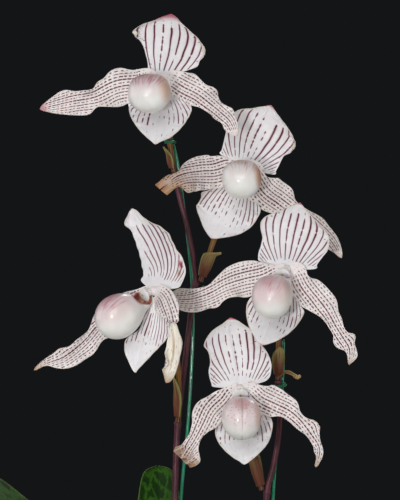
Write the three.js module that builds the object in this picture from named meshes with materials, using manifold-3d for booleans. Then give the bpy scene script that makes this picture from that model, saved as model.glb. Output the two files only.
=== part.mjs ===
// Potted paphiopedilum orchid: two flower stems with five striped slipper flowers,
// staked and tied, over two fans of strap leaves in a round pot of bark mix.
// Millimetres, +Z up. The front looks along +Y, the origin is the centre of the pot's flat underside.

import * as THREE from 'three';
import { mergeVertices } from 'three/addons/utils/BufferGeometryUtils.js';
import Module from 'manifold-3d';

const manifold = await Module();
manifold.setup();

// Driving dimensions
const POT_HEIGHT = 112;
const POT_TOP_RADIUS = 62.4;
const POT_FOOT_RADIUS = 47;
const POT_WALL = 2.2;
const POT_FLOOR = 3;
const RIM_HEIGHT = 14;
const RIM_OUT = 2.6;
const DRAIN_RADIUS = 4;
const DRAIN_RING = 33;
const DRAIN_COUNT = 6;
const MIX_TOP = 100;
const FIT_GAP = 0.3;

const PETAL_THICKNESS = 0.8;
const LEAF_THICKNESS = 1.5;
const POUCH_WALL = 1.0;
const POUCH_HALF_WIDTH = 12;
const SEAT_RADIUS = 2.8;
const SEAT_REACH = 3.2;
const OVARY_RADIUS = 1.9;
const STEM_RADIUS_LOW = 2.1;
const STEM_RADIUS_HIGH = 1.5;
const STAKE_RADIUS = 1.2;
const TIE_RADIUS = 0.7;
const HOLE_DEPTH = 10;
const STAKE_DEPTH = 40;

// Materials, one for each kind of surface
const paint = (color, roughness, metalness = 0) => () =>
  new THREE.MeshStandardMaterial({ color, roughness, metalness });
const petalWhite = paint('#ece6e8', 0.6);
const pouchWhite = paint('#f3eeee', 0.35);
const columnCream = paint('#efe6cf', 0.5);
const ovaryMaroon = paint('#7a4a2e', 0.6);
const bractOlive = paint('#7d7a3e', 0.65);
const stemMaroon = paint('#54222f', 0.6);
const stakeGreen = paint('#0f6b4c', 0.3);
const tieGreen = paint('#1f9a52', 0.4);
const leafGreen = paint('#3f7a2c', 0.5);
const potClay = paint('#9a5637', 0.7);
const mixBrown = paint('#5b4030', 0.9);

const plant = new THREE.Group();

function addPiece(name, geometry, material) {
  const mesh = new THREE.Mesh(geometry, material());
  mesh.name = name;
  plant.add(mesh);
  return mesh;
}

const at = (p) => new THREE.Vector3(p[0], p[1], p[2]);
const ease = (t) => t * t * (3 - 2 * t);
const clamp01 = (t) => Math.min(1, Math.max(0, t));

// A smooth run of values through [t, value] pairs
function runOf(pairs) {
  const slope = (k) => {
    const [ta, va] = pairs[Math.max(0, k - 1)];
    const [tb, vb] = pairs[Math.min(pairs.length - 1, k + 1)];
    return (vb - va) / (tb - ta);
  };
  return (t) => {
    let k = 0;
    while (k < pairs.length - 2 && t > pairs[k + 1][0]) k += 1;
    const [t0, v0] = pairs[k];
    const [t1, v1] = pairs[k + 1];
    const span = t1 - t0;
    const u = clamp01((t - t0) / span);
    const rest = (1 - u) * (1 - u);
    return v0 * (1 + 2 * u) * rest + v1 * u * u * (3 - 2 * u)
      + slope(k) * span * u * rest - slope(k + 1) * span * u * u * (1 - u);
  };
}

// A closed body from a front and a back sheet of (rows x cols) points that share no vertex
function closeSheets(front, back) {
  const rows = front.length;
  const cols = front[0].length;
  const positions = [];
  [...front, ...back].forEach((row) => row.forEach((p) => positions.push(p.x, p.y, p.z)));
  const onFront = (i, j) => i * cols + j;
  const onBack = (i, j) => rows * cols + i * cols + j;
  const index = [];
  for (let i = 0; i < rows - 1; i += 1) {
    for (let j = 0; j < cols - 1; j += 1) {
      index.push(onFront(i, j), onFront(i + 1, j), onFront(i + 1, j + 1));
      index.push(onFront(i, j), onFront(i + 1, j + 1), onFront(i, j + 1));
      index.push(onBack(i, j), onBack(i + 1, j + 1), onBack(i + 1, j));
      index.push(onBack(i, j), onBack(i, j + 1), onBack(i + 1, j + 1));
    }
  }
  const edge = [];
  for (let j = 0; j < cols - 1; j += 1) edge.push([0, j]);
  for (let i = 0; i < rows - 1; i += 1) edge.push([i, cols - 1]);
  for (let j = cols - 1; j > 0; j -= 1) edge.push([rows - 1, j]);
  for (let i = rows - 1; i > 0; i -= 1) edge.push([i, 0]);
  edge.forEach(([i, j], k) => {
    const [ni, nj] = edge[(k + 1) % edge.length];
    index.push(onFront(i, j), onFront(ni, nj), onBack(ni, nj));
    index.push(onFront(i, j), onBack(ni, nj), onBack(i, j));
  });
  return closedGeometry(positions, index);
}

// A geometry whose faces point out, whichever way its rows ran
function closedGeometry(positions, index) {
  let volume = 0;
  const p = (k) => new THREE.Vector3(positions[3 * k], positions[3 * k + 1], positions[3 * k + 2]);
  for (let k = 0; k < index.length; k += 3) {
    volume += p(index[k]).dot(p(index[k + 1]).cross(p(index[k + 2])));
  }
  if (volume < 0) {
    for (let k = 0; k < index.length; k += 3) [index[k], index[k + 1]] = [index[k + 1], index[k]];
  }
  const geometry = new THREE.BufferGeometry();
  geometry.setAttribute('position', new THREE.Float32BufferAttribute(positions, 3));
  geometry.setIndex(index);
  geometry.computeVertexNormals();
  return geometry;
}

// A blade: a thin sheet along a midrib. Its section is an arc that cups towards its face,
// its margins wave, and its face turns from faceStart to faceEnd along the midrib.
function blade(spec) {
  const { midrib, width, faceStart, faceEnd = faceStart, turnFrom = 0.4 } = spec;
  const { cup = () => 0.3, wave = 0, waves = 2, phase = 0, rows = 10, cols = 6 } = spec;
  const { thickness = PETAL_THICKNESS, keel = 0 } = spec;
  const curve = new THREE.CatmullRomCurve3(midrib.map(at), false, 'centripetal');
  const start = at(faceStart).normalize();
  const end = at(faceEnd).normalize();
  const front = [];
  const back = [];
  for (let i = 0; i <= rows; i += 1) {
    const t = i / rows;
    const centre = curve.getPointAt(t);
    const along = curve.getTangentAt(t);
    const turn = ease(clamp01((t - turnFrom) / (1 - turnFrom)));
    const face = start.clone().lerp(end, turn);
    face.addScaledVector(along, -face.dot(along)).normalize();
    const across = new THREE.Vector3().crossVectors(along, face).normalize();
    const half = width(t);
    const bend = cup(t);
    const frontRow = [];
    const backRow = [];
    for (let j = 0; j <= cols; j += 1) {
      const s = (2 * j) / cols - 1;
      const angle = s * bend;
      const radius = Math.abs(bend) > 0.01 ? half / bend : 0;
      const sideways = radius ? radius * Math.sin(angle) : half * s;
      const rise = radius ? radius * (1 - Math.cos(angle)) : 0;
      const margin = ease(Math.abs(s)) * ease(clamp01(4 * t)) * ease(clamp01(3 * (1 - t)));
      const ripple = wave * margin * Math.sin(2 * Math.PI * waves * t + phase + (s > 0 ? 0 : 1.9));
      const trough = -keel * (1 - Math.abs(s));
      const tilt = face.clone().multiplyScalar(Math.cos(angle)).addScaledVector(across, -Math.sin(angle));
      const point = centre.clone().addScaledVector(across, sideways);
      point.addScaledVector(face, rise + ripple + trough);
      frontRow.push(point.clone().addScaledVector(tilt, thickness / 2));
      backRow.push(point.clone().addScaledVector(tilt, -thickness / 2));
    }
    front.push(frontRow);
    back.push(backRow);
  }
  return closeSheets(front, back);
}

const evenStations = (steps) => Array.from({ length: steps + 1 }, (_, i) => i / steps);

// A round rod of changing radius along a smooth path, closed at both ends
function rod(path, radii, stations, sides) {
  const curve = new THREE.CatmullRomCurve3(path.map(at), false, 'centripetal');
  const radiusAt = runOf(radii);
  const steps = stations.length - 1;
  const positions = [];
  const index = [];
  let side = new THREE.Vector3(0, 1, 0);
  stations.forEach((t) => {
    const centre = curve.getPointAt(t);
    const along = curve.getTangentAt(t);
    side = side.clone().addScaledVector(along, -side.dot(along)).normalize();
    const across = new THREE.Vector3().crossVectors(along, side);
    for (let k = 0; k < sides; k += 1) {
      const angle = (2 * Math.PI * k) / sides;
      const p = centre.clone().addScaledVector(side, radiusAt(t) * Math.cos(angle));
      p.addScaledVector(across, radiusAt(t) * Math.sin(angle));
      positions.push(p.x, p.y, p.z);
    }
  });
  for (let i = 0; i < steps; i += 1) {
    for (let k = 0; k < sides; k += 1) {
      const a = i * sides + k;
      const b = i * sides + ((k + 1) % sides);
      index.push(a, b, b + sides, a, b + sides, a + sides);
    }
  }
  const last = steps * sides;
  for (let k = 1; k < sides - 1; k += 1) {
    index.push(0, k + 1, k);
    index.push(last, last + k, last + k + 1);
  }
  return closedGeometry(positions, index);
}

function toSolid(geometry) {
  const bare = geometry.clone();
  bare.deleteAttribute('normal');
  bare.deleteAttribute('uv');
  const merged = mergeVertices(bare, 1e-4);
  const corners = merged.index.array;
  const kept = [];
  for (let k = 0; k < corners.length; k += 3) {
    const [a, b, c] = [corners[k], corners[k + 1], corners[k + 2]];
    if (a !== b && b !== c && c !== a) kept.push(a, b, c);
  }
  return new manifold.Manifold(
    new manifold.Mesh({
      numProp: 3,
      vertProperties: new Float32Array(merged.attributes.position.array),
      triVerts: new Uint32Array(kept),
    }),
  );
}

function fromSolid(solid) {
  const mesh = solid.getMesh();
  const geometry = new THREE.BufferGeometry();
  geometry.setAttribute('position', new THREE.BufferAttribute(new Float32Array(mesh.vertProperties), 3));
  geometry.setIndex(new THREE.BufferAttribute(new Uint32Array(mesh.triVerts), 1));
  geometry.computeVertexNormals();
  return geometry;
}

// A slipper pouch: an egg-shaped shell that points forward, away from the seat behind it.
// Its mouth is cut slantwise, open above and behind, and its floor runs back to the seat.
function pouch(centre, radii, wall = POUCH_WALL) {
  const [wide, high, toe] = radii;
  const c = at(centre);
  const along = c.clone().normalize();
  const back = c.length() - SEAT_REACH + 0.5;
  const up = new THREE.Vector3(0, 0, 1).addScaledVector(along, -along.z).normalize();
  const right = new THREE.Vector3().crossVectors(along, up);
  const rings = 7;
  const spokes = 14;
  const mouth = 0.45 * back;
  const floorTaper = 0.76;
  const roofTaper = 0.72;
  const sheet = (inset) => {
    const rows = [];
    for (let i = 0; i <= rings; i += 1) {
      const depth = (i / rings) ** 1.5;
      const row = [];
      for (let k = 0; k < spokes; k += 1) {
        const angle = (2 * Math.PI * k) / spokes;
        const low = ((1 - Math.cos(angle)) / 2) ** 0.8;
        const lip = -mouth * (1 - low) - back * low;
        const reach = toe - inset - (toe - inset - lip) * depth;
        const behind = Math.max(0, -reach);
        const roof = Math.max(0.3, 1 - roofTaper * (behind / (0.6 * back)) ** 2.2);
        const floor = 1 - floorTaper * (behind / back) ** 1.7;
        const round = reach > 0
          ? Math.sqrt(Math.max(0, 1 - (reach / (toe - inset)) ** 2))
          : roof * (1 - low) + floor * low;
        const p = c.clone().addScaledVector(along, reach);
        p.addScaledVector(right, (wide - inset) * round * Math.sin(angle));
        p.addScaledVector(up, (high - inset) * round * Math.cos(angle));
        row.push(p);
      }
      rows.push(row);
    }
    return rows;
  };
  const outer = sheet(0);
  const inner = sheet(wall);
  const positions = [];
  const index = [];
  const put = (p) => positions.push(p.x, p.y, p.z) / 3 - 1;
  const ids = [outer, inner].map((rows) => rows.map((row, i) => {
    if (i > 0) return row.map(put);
    const pole = put(row[0]);
    return row.map(() => pole);
  }));
  const strip = (a, b, flip) => {
    for (let k = 0; k < spokes; k += 1) {
      const n = (k + 1) % spokes;
      const quad = [[a[k], b[k], b[n]], [a[k], b[n], a[n]]];
      quad.forEach(([x, y, z]) => {
        if (x !== y && y !== z && z !== x) index.push(...(flip ? [x, z, y] : [x, y, z]));
      });
    }
  };
  for (let i = 0; i < rings; i += 1) {
    strip(ids[0][i], ids[0][i + 1], false);
    strip(ids[1][i], ids[1][i + 1], true);
  }
  strip(ids[0][rings], ids[1][rings], false);
  return closedGeometry(positions, index);
}

// The column: a short stalk out of the seat that ends in a domed shield
function column(direction) {
  const profile = [[0, 0], [1.5, 0.2], [1.4, 3], [1.6, 4.6], [3.4, 5.3], [3.1, 6.6], [1.7, 7.5], [0, 7.8]];
  const geometry = new THREE.LatheGeometry(profile.map(([r, y]) => new THREE.Vector2(r, y)), 10);
  const turn = new THREE.Quaternion().setFromUnitVectors(new THREE.Vector3(0, 1, 0), direction);
  geometry.applyQuaternion(turn);
  const start = direction.clone().multiplyScalar(SEAT_REACH + 0.6);
  geometry.translate(start.x, start.y, start.z + 0.9);
  return geometry;
}

// A bract: a boat-shaped sheath that clasps the foot of an ovary and flares at its tip
function sheath(path, out, { from = 0.05, to = 0.42, wrap = 1.7, flare = 2.5, rows = 6, cols = 4 }) {
  const curve = new THREE.CatmullRomCurve3(path.map(at), false, 'centripetal');
  const sheet = (extra) => {
    const grid = [];
    for (let i = 0; i <= rows; i += 1) {
      const t = i / rows;
      const centre = curve.getPointAt(from + (to - from) * t);
      const along = curve.getTangentAt(from + (to - from) * t);
      const front = at(out).addScaledVector(along, -at(out).dot(along)).normalize();
      const side = new THREE.Vector3().crossVectors(along, front);
      const radius = OVARY_RADIUS + 0.4 + extra + flare * t * t * t;
      const half = wrap * (1 - 0.93 * t * t);
      const row = [];
      for (let j = 0; j <= cols; j += 1) {
        const angle = half * ((2 * j) / cols - 1);
        const p = centre.clone().addScaledVector(front, radius * Math.cos(angle));
        row.push(p.addScaledVector(side, radius * Math.sin(angle)));
      }
      grid.push(row);
    }
    return grid;
  };
  return closeSheets(sheet(0.7), sheet(0));
}

// The flowers. A heart is the seat's centre; every midrib runs in millimetres from it:
// right, away, up. Widths are half widths along the midrib.
const SEPAL_CUP = runOf([[0, -0.15], [0.3, 0.1], [0.7, 0.55], [1, 0.7]]);
const SYNSEPAL_CUP = runOf([[0, -0.1], [0.4, 0.35], [1, 0.6]]);
const PETAL_CUP = runOf([[0, 0.05], [0.3, -0.25], [0.7, -0.3], [1, 0.5]]);

const flowers = [
  {
    heart: [-29.9, -22, 478.6],
    face: [-0.2, -1, 0],
    dorsal: {
      midrib: [[0.3, 1.3, 3.4], [3.5, 3.6, 13.3], [5.8, 3, 24.9], [6.2, -1, 34.9], [6, -4.5, 39.1]],
      width: [[0, 2.4], [0.15, 12.5], [0.35, 18], [0.55, 20], [0.75, 18.5], [0.9, 12], [1, 1.4]],
    },
    synsepal: {
      midrib: [[0, 1.5, -3.4], [-0.6, 1.2, -16.5], [-1.7, -2, -27.3], [-3.3, -6, -36.9]],
      width: [[0, 2.2], [0.2, 13], [0.45, 18.5], [0.65, 17.5], [0.85, 11.5], [1, 1.5]],
    },
    petalLeft: {
      midrib: [[-3.5, -0.9, 1.2], [-6.5, -1, 0.9], [-12.4, 0, -1.1], [-25.4, 3, -2.6], [-39.1, 6, -8.3],
        [-54.1, 9, -10.9], [-64.8, 10, -13.2], [-71.9, 9, -15.1]],
      width: [[0, 3], [0.12, 8.2], [0.3, 11], [0.42, 9], [0.6, 8], [0.75, 7.5], [0.9, 5], [1, 1.2]],
      wave: 1.6,
      waves: 2.5,
    },
    petalRight: {
      midrib: [[3.5, -0.9, 1.2], [6.5, -1.5, 0.7], [13.5, -4, -3.4], [21.7, -8, -8], [29.2, -13, -14.2],
        [35.5, -18, -19.8], [40.1, -21, -24.7], [44.1, -22, -33.3]],
      width: [[0, 3], [0.15, 7.2], [0.35, 7.8], [0.55, 6.5], [0.75, 4.9], [0.9, 3.4], [1, 1.2]],
      wave: 1.4,
      waves: 2.5,
      faceEnd: [-0.5, -1, 0.2],
    },
    pouch: { centre: [-6.1, -22, -8.8], radii: [12.2, 11, 13] },
    ovary: [[-22.5, 3.9, 426.9], [-25, 2, 443.1], [-27.6, -4, 460.7], [-29.5, -12, 474.2],
      [-29.6, -17.5, 477.6]],
    bract: { out: [-1, -0.4, 0], to: 0.33 },
  },
  {
    heart: [18.3, -18, 428.3],
    face: [0, -1, 0],
    dorsal: {
      midrib: [[0.7, 1.3, 3.3], [6, 4.4, 15.6], [11.3, 3.5, 27.3], [14.7, 0, 33.6], [16.4, -3, 36.6]],
      width: [[0, 2.4], [0.15, 13], [0.35, 19], [0.55, 20.5], [0.75, 18.5], [0.9, 11.5], [1, 1.4]],
    },
    synsepal: {
      midrib: [[-0.8, 1.5, -3.4], [-6.5, 1.2, -18.9], [-12.5, -3, -31.9], [-18.9, -8, -41.3]],
      width: [[0, 2.2], [0.2, 12], [0.45, 19], [0.65, 19], [0.85, 12.5], [1, 1.5]],
    },
    petalLeft: {
      midrib: [[-3.4, -0.9, 1], [-9, -2, 0.8], [-16.6, -6, -1.5], [-25.3, -12, -2.5],
        [-33, -19, -4], [-39.8, -24.5, -7], [-45.4, -27, -11.6]],
      width: [[0, 3], [0.15, 8.4], [0.35, 10.5], [0.55, 9.5], [0.75, 7], [0.9, 5], [1, 3.4]],
      faceStart: [0.2, -1, 0.2],
      faceEnd: [0.1, -0.8, 0.7],
      wave: 0.8,
    },
    petalRight: {
      midrib: [[4, -1.1, 1.1], [6.8, -1.9, -0.9], [14.5, -1.8, -12], [23.3, 4, -18.3], [33, 9, -25.5],
        [43.1, 12, -33.6], [52, 11, -42], [58.9, 8, -53.1]],
      width: [[0, 3], [0.15, 8], [0.35, 9.8], [0.55, 8.8], [0.75, 7], [0.9, 4.2], [1, 1.2]],
      wave: 1.2,
    },
    pouch: { centre: [-1.3, -22, -7.6], radii: [11.2, 11.2, 12.5] },
    ovary: [[-6.7, 3.1, 361], [-3, 2.5, 372.8], [1.4, 1, 386], [9.8, -1, 406.9],
      [16.2, -6, 422], [18.1, -13, 427.2]],
    bract: { out: [1, -0.3, -0.5], to: 0.33, flare: 4 },
  },
  {
    heart: [-32.7, -48, 356.6],
    face: [-0.82, -0.57, 0],
    dorsal: {
      midrib: [[1, 0.6, 3.4], [3.6, 3.8, 12], [-0.8, 3, 26.3], [-7, 1, 37.7], [-13.2, -1, 46.9]],
      width: [[0, 2.4], [0.15, 12], [0.3, 15.5], [0.5, 15], [0.7, 12.5], [0.87, 8.5], [1, 2]],
      faceStart: [-0.65, -0.76, 0],
    },
    synsepal: {
      midrib: [[0.8, 0.6, -3.6], [-4, -0.2, -19.6], [-8.2, -1.5, -34], [-11.1, -3, -46.5]],
      width: [[0, 2.2], [0.2, 11], [0.45, 16], [0.65, 15], [0.85, 9], [1, 1.3]],
    },
    petalLeft: {
      midrib: [[-2.6, 2.6, 0.6], [-12.4, 9.2, -5], [-24, 14.5, -12], [-33.5, 16, -20.5],
        [-42, 14, -30], [-53, 11, -38.5], [-62.6, 9, -42], [-70, 8, -45.8]],
      width: [[0, 3], [0.12, 6.8], [0.3, 8.5], [0.5, 7.5], [0.7, 6.8], [0.85, 5], [1, 1.3]],
      faceEnd: [-0.3, -1, 0.2],
      wave: 1.4,
      waves: 2.5,
    },
    petalRight: {
      midrib: [[1.6, -3.2, 0.6], [5, -9, -2], [7.5, -16, -7.5], [10, -21, -15],
        [11.5, -23, -25], [11, -22, -35.5], [8.5, -20, -44], [6.8, -18, -51]],
      width: [[0, 3.2], [0.12, 7], [0.3, 8.8], [0.5, 7.2], [0.62, 6], [0.78, 7], [0.9, 5], [1, 1.2]],
      faceStart: [-0.5, -0.85, 0.1],
      faceEnd: [0.75, 0.6, 0],
      turnFrom: 0.3,
      wave: 1,
    },
    pouch: { centre: [-20.4, -14, -13.7], radii: [11.5, 11.8, 13.5] },
    ovary: [[-20, 0, 276.5], [-19.5, -4, 296], [-20.5, -12, 314], [-23.5, -26, 334],
      [-26.6, -40, 351], [-29, -45, 355.3]],
    bract: { out: [-1, -0.5, 0], to: 0.32 },
  },
  {
    heart: [43, -42, 368.5],
    face: [-0.25, -0.97, 0],
    dorsal: {
      midrib: [[0.5, 1.3, 3.3], [3.1, 5, 14.4], [6, 5, 27.7], [7, 2, 34], [7.4, -1, 38.5]],
      width: [[0, 2.4], [0.15, 14.5], [0.35, 19], [0.55, 19.5], [0.75, 18], [0.9, 11], [1, 1.4]],
    },
    synsepal: {
      midrib: [[-0.6, 1.8, -3.5], [-5.1, 4.4, -17.2], [-10.1, 1, -31.3], [-14.9, -5, -42.9]],
      width: [[0, 2.2], [0.2, 12], [0.45, 17], [0.65, 16], [0.85, 10], [1, 1.5]],
    },
    petalLeft: {
      midrib: [[-3.6, -0.9, 1.4], [-6.5, -1.4, 0.9], [-14.3, -1.8, -2.6], [-25.1, 5, -5.3], [-35.5, 14, -9],
        [-45.3, 19, -14.3], [-54.7, 22, -17.3], [-62, 23, -17.5], [-68, 23, -17]],
      width: [[0, 3], [0.12, 8.5], [0.3, 10.3], [0.5, 9], [0.65, 7.5], [0.8, 7], [0.92, 4.5], [1, 2.5]],
      wave: 1.4,
      waves: 2.5,
    },
    petalRight: {
      midrib: [[4, -1.2, 1.3], [6.4, -2.2, -0.5], [10.8, -5, -8], [16.8, -9, -15.7], [22, -13, -22.8],
        [26.3, -15, -30.6], [30.6, -15, -37.8], [34.5, -14, -44.5], [34.7, -12, -53.6]],
      width: [[0, 3], [0.12, 8.5], [0.3, 10.5], [0.5, 9], [0.65, 6.5], [0.8, 5.5], [0.92, 3.5], [1, 1.2]],
      faceEnd: [0.8, -0.5, 0.3],
      turnFrom: 0.65,
      wave: 1.4,
      waves: 3,
    },
    pouch: { centre: [-9.6, -22, -15.2], radii: [11, 11.4, 12.5] },
    ovary: [[39.5, -6.1, 302.7], [39.7, -9, 323.5], [41.5, -15, 344.6], [44, -26, 360.5],
      [43.9, -36.5, 367.3]],
    bract: { out: [0.8, -0.6, 0], to: 0.3, flare: 5 },
  },
  {
    heart: [16.2, -32, 299.3],
    face: [0, -1, 0],
    dorsal: {
      midrib: [[-0.2, 1.3, 3.3], [-1.6, 5, 15.3], [-4, 4, 28.2], [-5.2, 1, 35.9], [-5.5, -2.5, 41.3]],
      width: [[0, 2.4], [0.15, 14], [0.35, 18], [0.5, 19], [0.7, 18], [0.87, 11], [1, 1.2]],
    },
    synsepal: {
      midrib: [[0.2, 1.5, -3.4], [1.7, 0.5, -17.7], [2.1, -4, -30.6], [2.3, -9, -42.7]],
      width: [[0, 2.2], [0.2, 11.5], [0.45, 16.5], [0.65, 15.5], [0.85, 10], [1, 1.5]],
    },
    petalLeft: {
      midrib: [[-3.9, -1, 1.4], [-6.4, -1.8, 0], [-10.8, -4, -5], [-17.5, -9, -11.3], [-21.5, -12, -19],
        [-25.5, -13, -26.8], [-29.5, -11, -33.7], [-32.4, -7, -39.4]],
      width: [[0, 3], [0.15, 8.2], [0.35, 9], [0.55, 7.8], [0.75, 7], [0.9, 7.5], [1, 5.5]],
      faceEnd: [-0.3, -1, 0.4],
      wave: 1.5,
      waves: 2.5,
    },
    petalRight: {
      midrib: [[3.6, -0.9, 1.3], [6.4, -1.7, 0.6], [12.8, -4, -4.4], [20.5, -8, -8], [28.4, -12, -11.6],
        [34.5, -14, -17], [40.1, -15, -24.3], [45.2, -14, -33.4], [43.1, -12, -43.9]],
      width: [[0, 3], [0.12, 8.2], [0.3, 9], [0.5, 7.2], [0.68, 5.8], [0.83, 4.8], [0.93, 3], [1, 1]],
      faceEnd: [0.6, -0.8, 0.3],
      turnFrom: 0.6,
      wave: 1.3,
      waves: 2.5,
    },
    pouch: { centre: [0.4, -22, -15.1], radii: [10.6, 11.4, 12.5] },
    ovary: [[29.8, -7.3, 237], [26.5, -8, 250], [22.1, -10, 267.1], [18.8, -15, 283.5],
      [16.6, -24, 296.2], [16.3, -27.5, 298.3]],
    bract: { out: [-0.9, -0.4, -0.3], to: 0.42 },
  },
];

// An ovary on its stalk: slim at the foot, ribbed thick in the middle, and swollen at the end
// into the seat that carries the sepals, the petals, the pouch and the column
const STALK_RADIUS = 1.5;
function ovary(path) {
  const length = new THREE.CatmullRomCurve3(path.map(at), false, 'centripetal').getLength();
  const before = (distance) => 1 - distance / length;
  const radii = [
    [0, STALK_RADIUS], [0.2, STALK_RADIUS], [0.55, OVARY_RADIUS], [before(8.5), 1.6],
    [before(5.4), 2.2], [before(SEAT_REACH), SEAT_RADIUS], [before(1), 2.4], [1, 1.3],
  ];
  const stations = evenStations(10).map((t) => t * before(8.5));
  stations.push(...[5.4, 4.3, SEAT_REACH, 2, 0.8, 0].map(before));
  return rod(path, radii, stations, 8);
}

flowers.forEach((flower, n) => {
  const name = (piece) => `flower_${n + 1}_${piece}`;
  const place = (mesh) => mesh.position.copy(at(flower.heart));
  const grow = (piece, spec, cup) => {
    const shape = { faceStart: flower.face, cup, ...spec, width: runOf(spec.width) };
    place(addPiece(name(piece), blade(shape), petalWhite));
  };
  grow('dorsal', flower.dorsal, SEPAL_CUP);
  grow('synsepal', flower.synsepal, SYNSEPAL_CUP);
  grow('petal_left', flower.petalLeft, PETAL_CUP);
  grow('petal_right', flower.petalRight, PETAL_CUP);
  place(addPiece(name('pouch'), pouch(flower.pouch.centre, flower.pouch.radii), pouchWhite));
  const lean = at(flower.pouch.centre).normalize().add(new THREE.Vector3(0, 0, 0.14)).normalize();
  place(addPiece(name('column'), column(lean), columnCream));
  const ahead = at(flower.face).normalize().multiplyScalar(SEAT_REACH);
  const path = [...flower.ovary, flower.heart, at(flower.heart).add(ahead).toArray()];
  addPiece(name('ovary'), ovary(path), ovaryMaroon);
  addPiece(name('bract'), sheath(path, flower.bract.out, flower.bract), bractOlive);
});

// The two flower stems, thicker at the foot
const STEM_FOOT = MIX_TOP - HOLE_DEPTH + FIT_GAP;
const leftStem = [[-20, 6, STEM_FOOT], [-20.5, 5, 140], [-21.5, 3.5, 190], [-22, 3, 229.6], [-20.3, 4, 275.2],
  [-14.8, 4, 322.8], [-12.4, 5, 342.6], [-9.7, 5, 360.1], [-10.6, 5, 372.8], [-15.4, 5, 396.9],
  [-19.7, 5, 413.2], [-22.4, 4, 426.4]];
const rightStem = [[29, -4, STEM_FOOT], [30, -4.5, 140], [31.5, -5.5, 190], [33, -6, 235.7], [36.5, -6, 250],
  [39.5, -6, 266.7], [40.7, -6, 284.6], [39.5, -6, 302.2]];
const STEM_RUN = [[0, STEM_RADIUS_LOW], [0.5, 1.9], [1, STEM_RADIUS_HIGH]];
addPiece('flower_stem_left', rod(leftStem, STEM_RUN, evenStations(28), 8), stemMaroon);
addPiece('flower_stem_right', rod(rightStem, STEM_RUN, evenStations(18), 8), stemMaroon);

// The green coated wire stakes that stand behind the stems
const STAKE_FOOT = MIX_TOP - STAKE_DEPTH + FIT_GAP;
const leftStake = [[-20.4, 10.3, STAKE_FOOT], [-20.4, 10.3, 100], [-20.2, 10, 130], [-18.9, 9, 190], [-18.5, 8.5, 228.8], [-14.3, 9, 274.1],
  [-11.8, 9.5, 314.6], [-11.2, 9.5, 337.6], [-11.8, 9.5, 360], [-14.3, 9.5, 386.1],
  [-17.3, 9.5, 410.3], [-20.9, 8.5, 434.4], [-24.5, 8, 449]];
const rightStake = [[37, 14, STAKE_FOOT], [37, 14, 100], [36.8, 11, 130], [36.6, 3.5, 190], [36.7, -1.5, 230.3], [38.4, -1.5, 254.3],
  [41.2, -1.5, 284.2], [42.7, -2, 308.1], [43, -2, 326.1]];
const STAKE_RUN = [[0, STAKE_RADIUS], [1, STAKE_RADIUS]];
addPiece('stake_left', rod(leftStake, STAKE_RUN, evenStations(24), 6), stakeGreen);
addPiece('stake_right', rod(rightStake, STAKE_RUN, evenStations(16), 6), stakeGreen);

// A tie: a loop of thin wire that goes round a stem and its stake at one height
function tie(a, b, height) {
  const points = [];
  const heading = Math.atan2(b[1] - a[1], b[0] - a[0]);
  const turns = 6;
  [[a, heading + Math.PI / 2], [b, heading - Math.PI / 2]].forEach(([[x, y, r], from]) => {
    for (let k = 0; k <= turns; k += 1) {
      const angle = from + (Math.PI * k) / turns;
      const reach = r + FIT_GAP + TIE_RADIUS;
      points.push(new THREE.Vector3(x + reach * Math.cos(angle), y + reach * Math.sin(angle), height));
    }
  });
  const sides = 6;
  const positions = [];
  const index = [];
  const count = points.length;
  const middle = new THREE.Vector3((a[0] + b[0]) / 2, (a[1] + b[1]) / 2, height);
  points.forEach((p, i) => {
    const along = points[(i + 1) % count].clone().sub(points[(i + count - 1) % count]).normalize();
    const out = new THREE.Vector3().crossVectors(along, new THREE.Vector3(0, 0, 1)).normalize();
    if (out.dot(p.clone().sub(middle)) < 0) out.negate();
    for (let k = 0; k < sides; k += 1) {
      const angle = (2 * Math.PI * k) / sides;
      const q = p.clone().addScaledVector(out, TIE_RADIUS * Math.cos(angle));
      positions.push(q.x, q.y, q.z + TIE_RADIUS * Math.sin(angle));
    }
  });
  for (let i = 0; i < count; i += 1) {
    for (let k = 0; k < sides; k += 1) {
      const here = i * sides;
      const next = ((i + 1) % count) * sides;
      const n = (k + 1) % sides;
      index.push(here + k, next + k, next + n, here + k, next + n, here + n);
    }
  }
  return closedGeometry(positions, index);
}

addPiece('tie_top', tie([-25.3, 1.6, OVARY_RADIUS], [-23.6, 8.1, STAKE_RADIUS], 445), tieGreen);
addPiece('tie_middle', tie([-10.1, 5, 1.9], [-11.6, 9.5, STAKE_RADIUS], 356), tieGreen);
addPiece('tie_right', tie([39.9, -6, 1.9], [42.4, -1.8, STAKE_RADIUS], 299), tieGreen);

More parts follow.
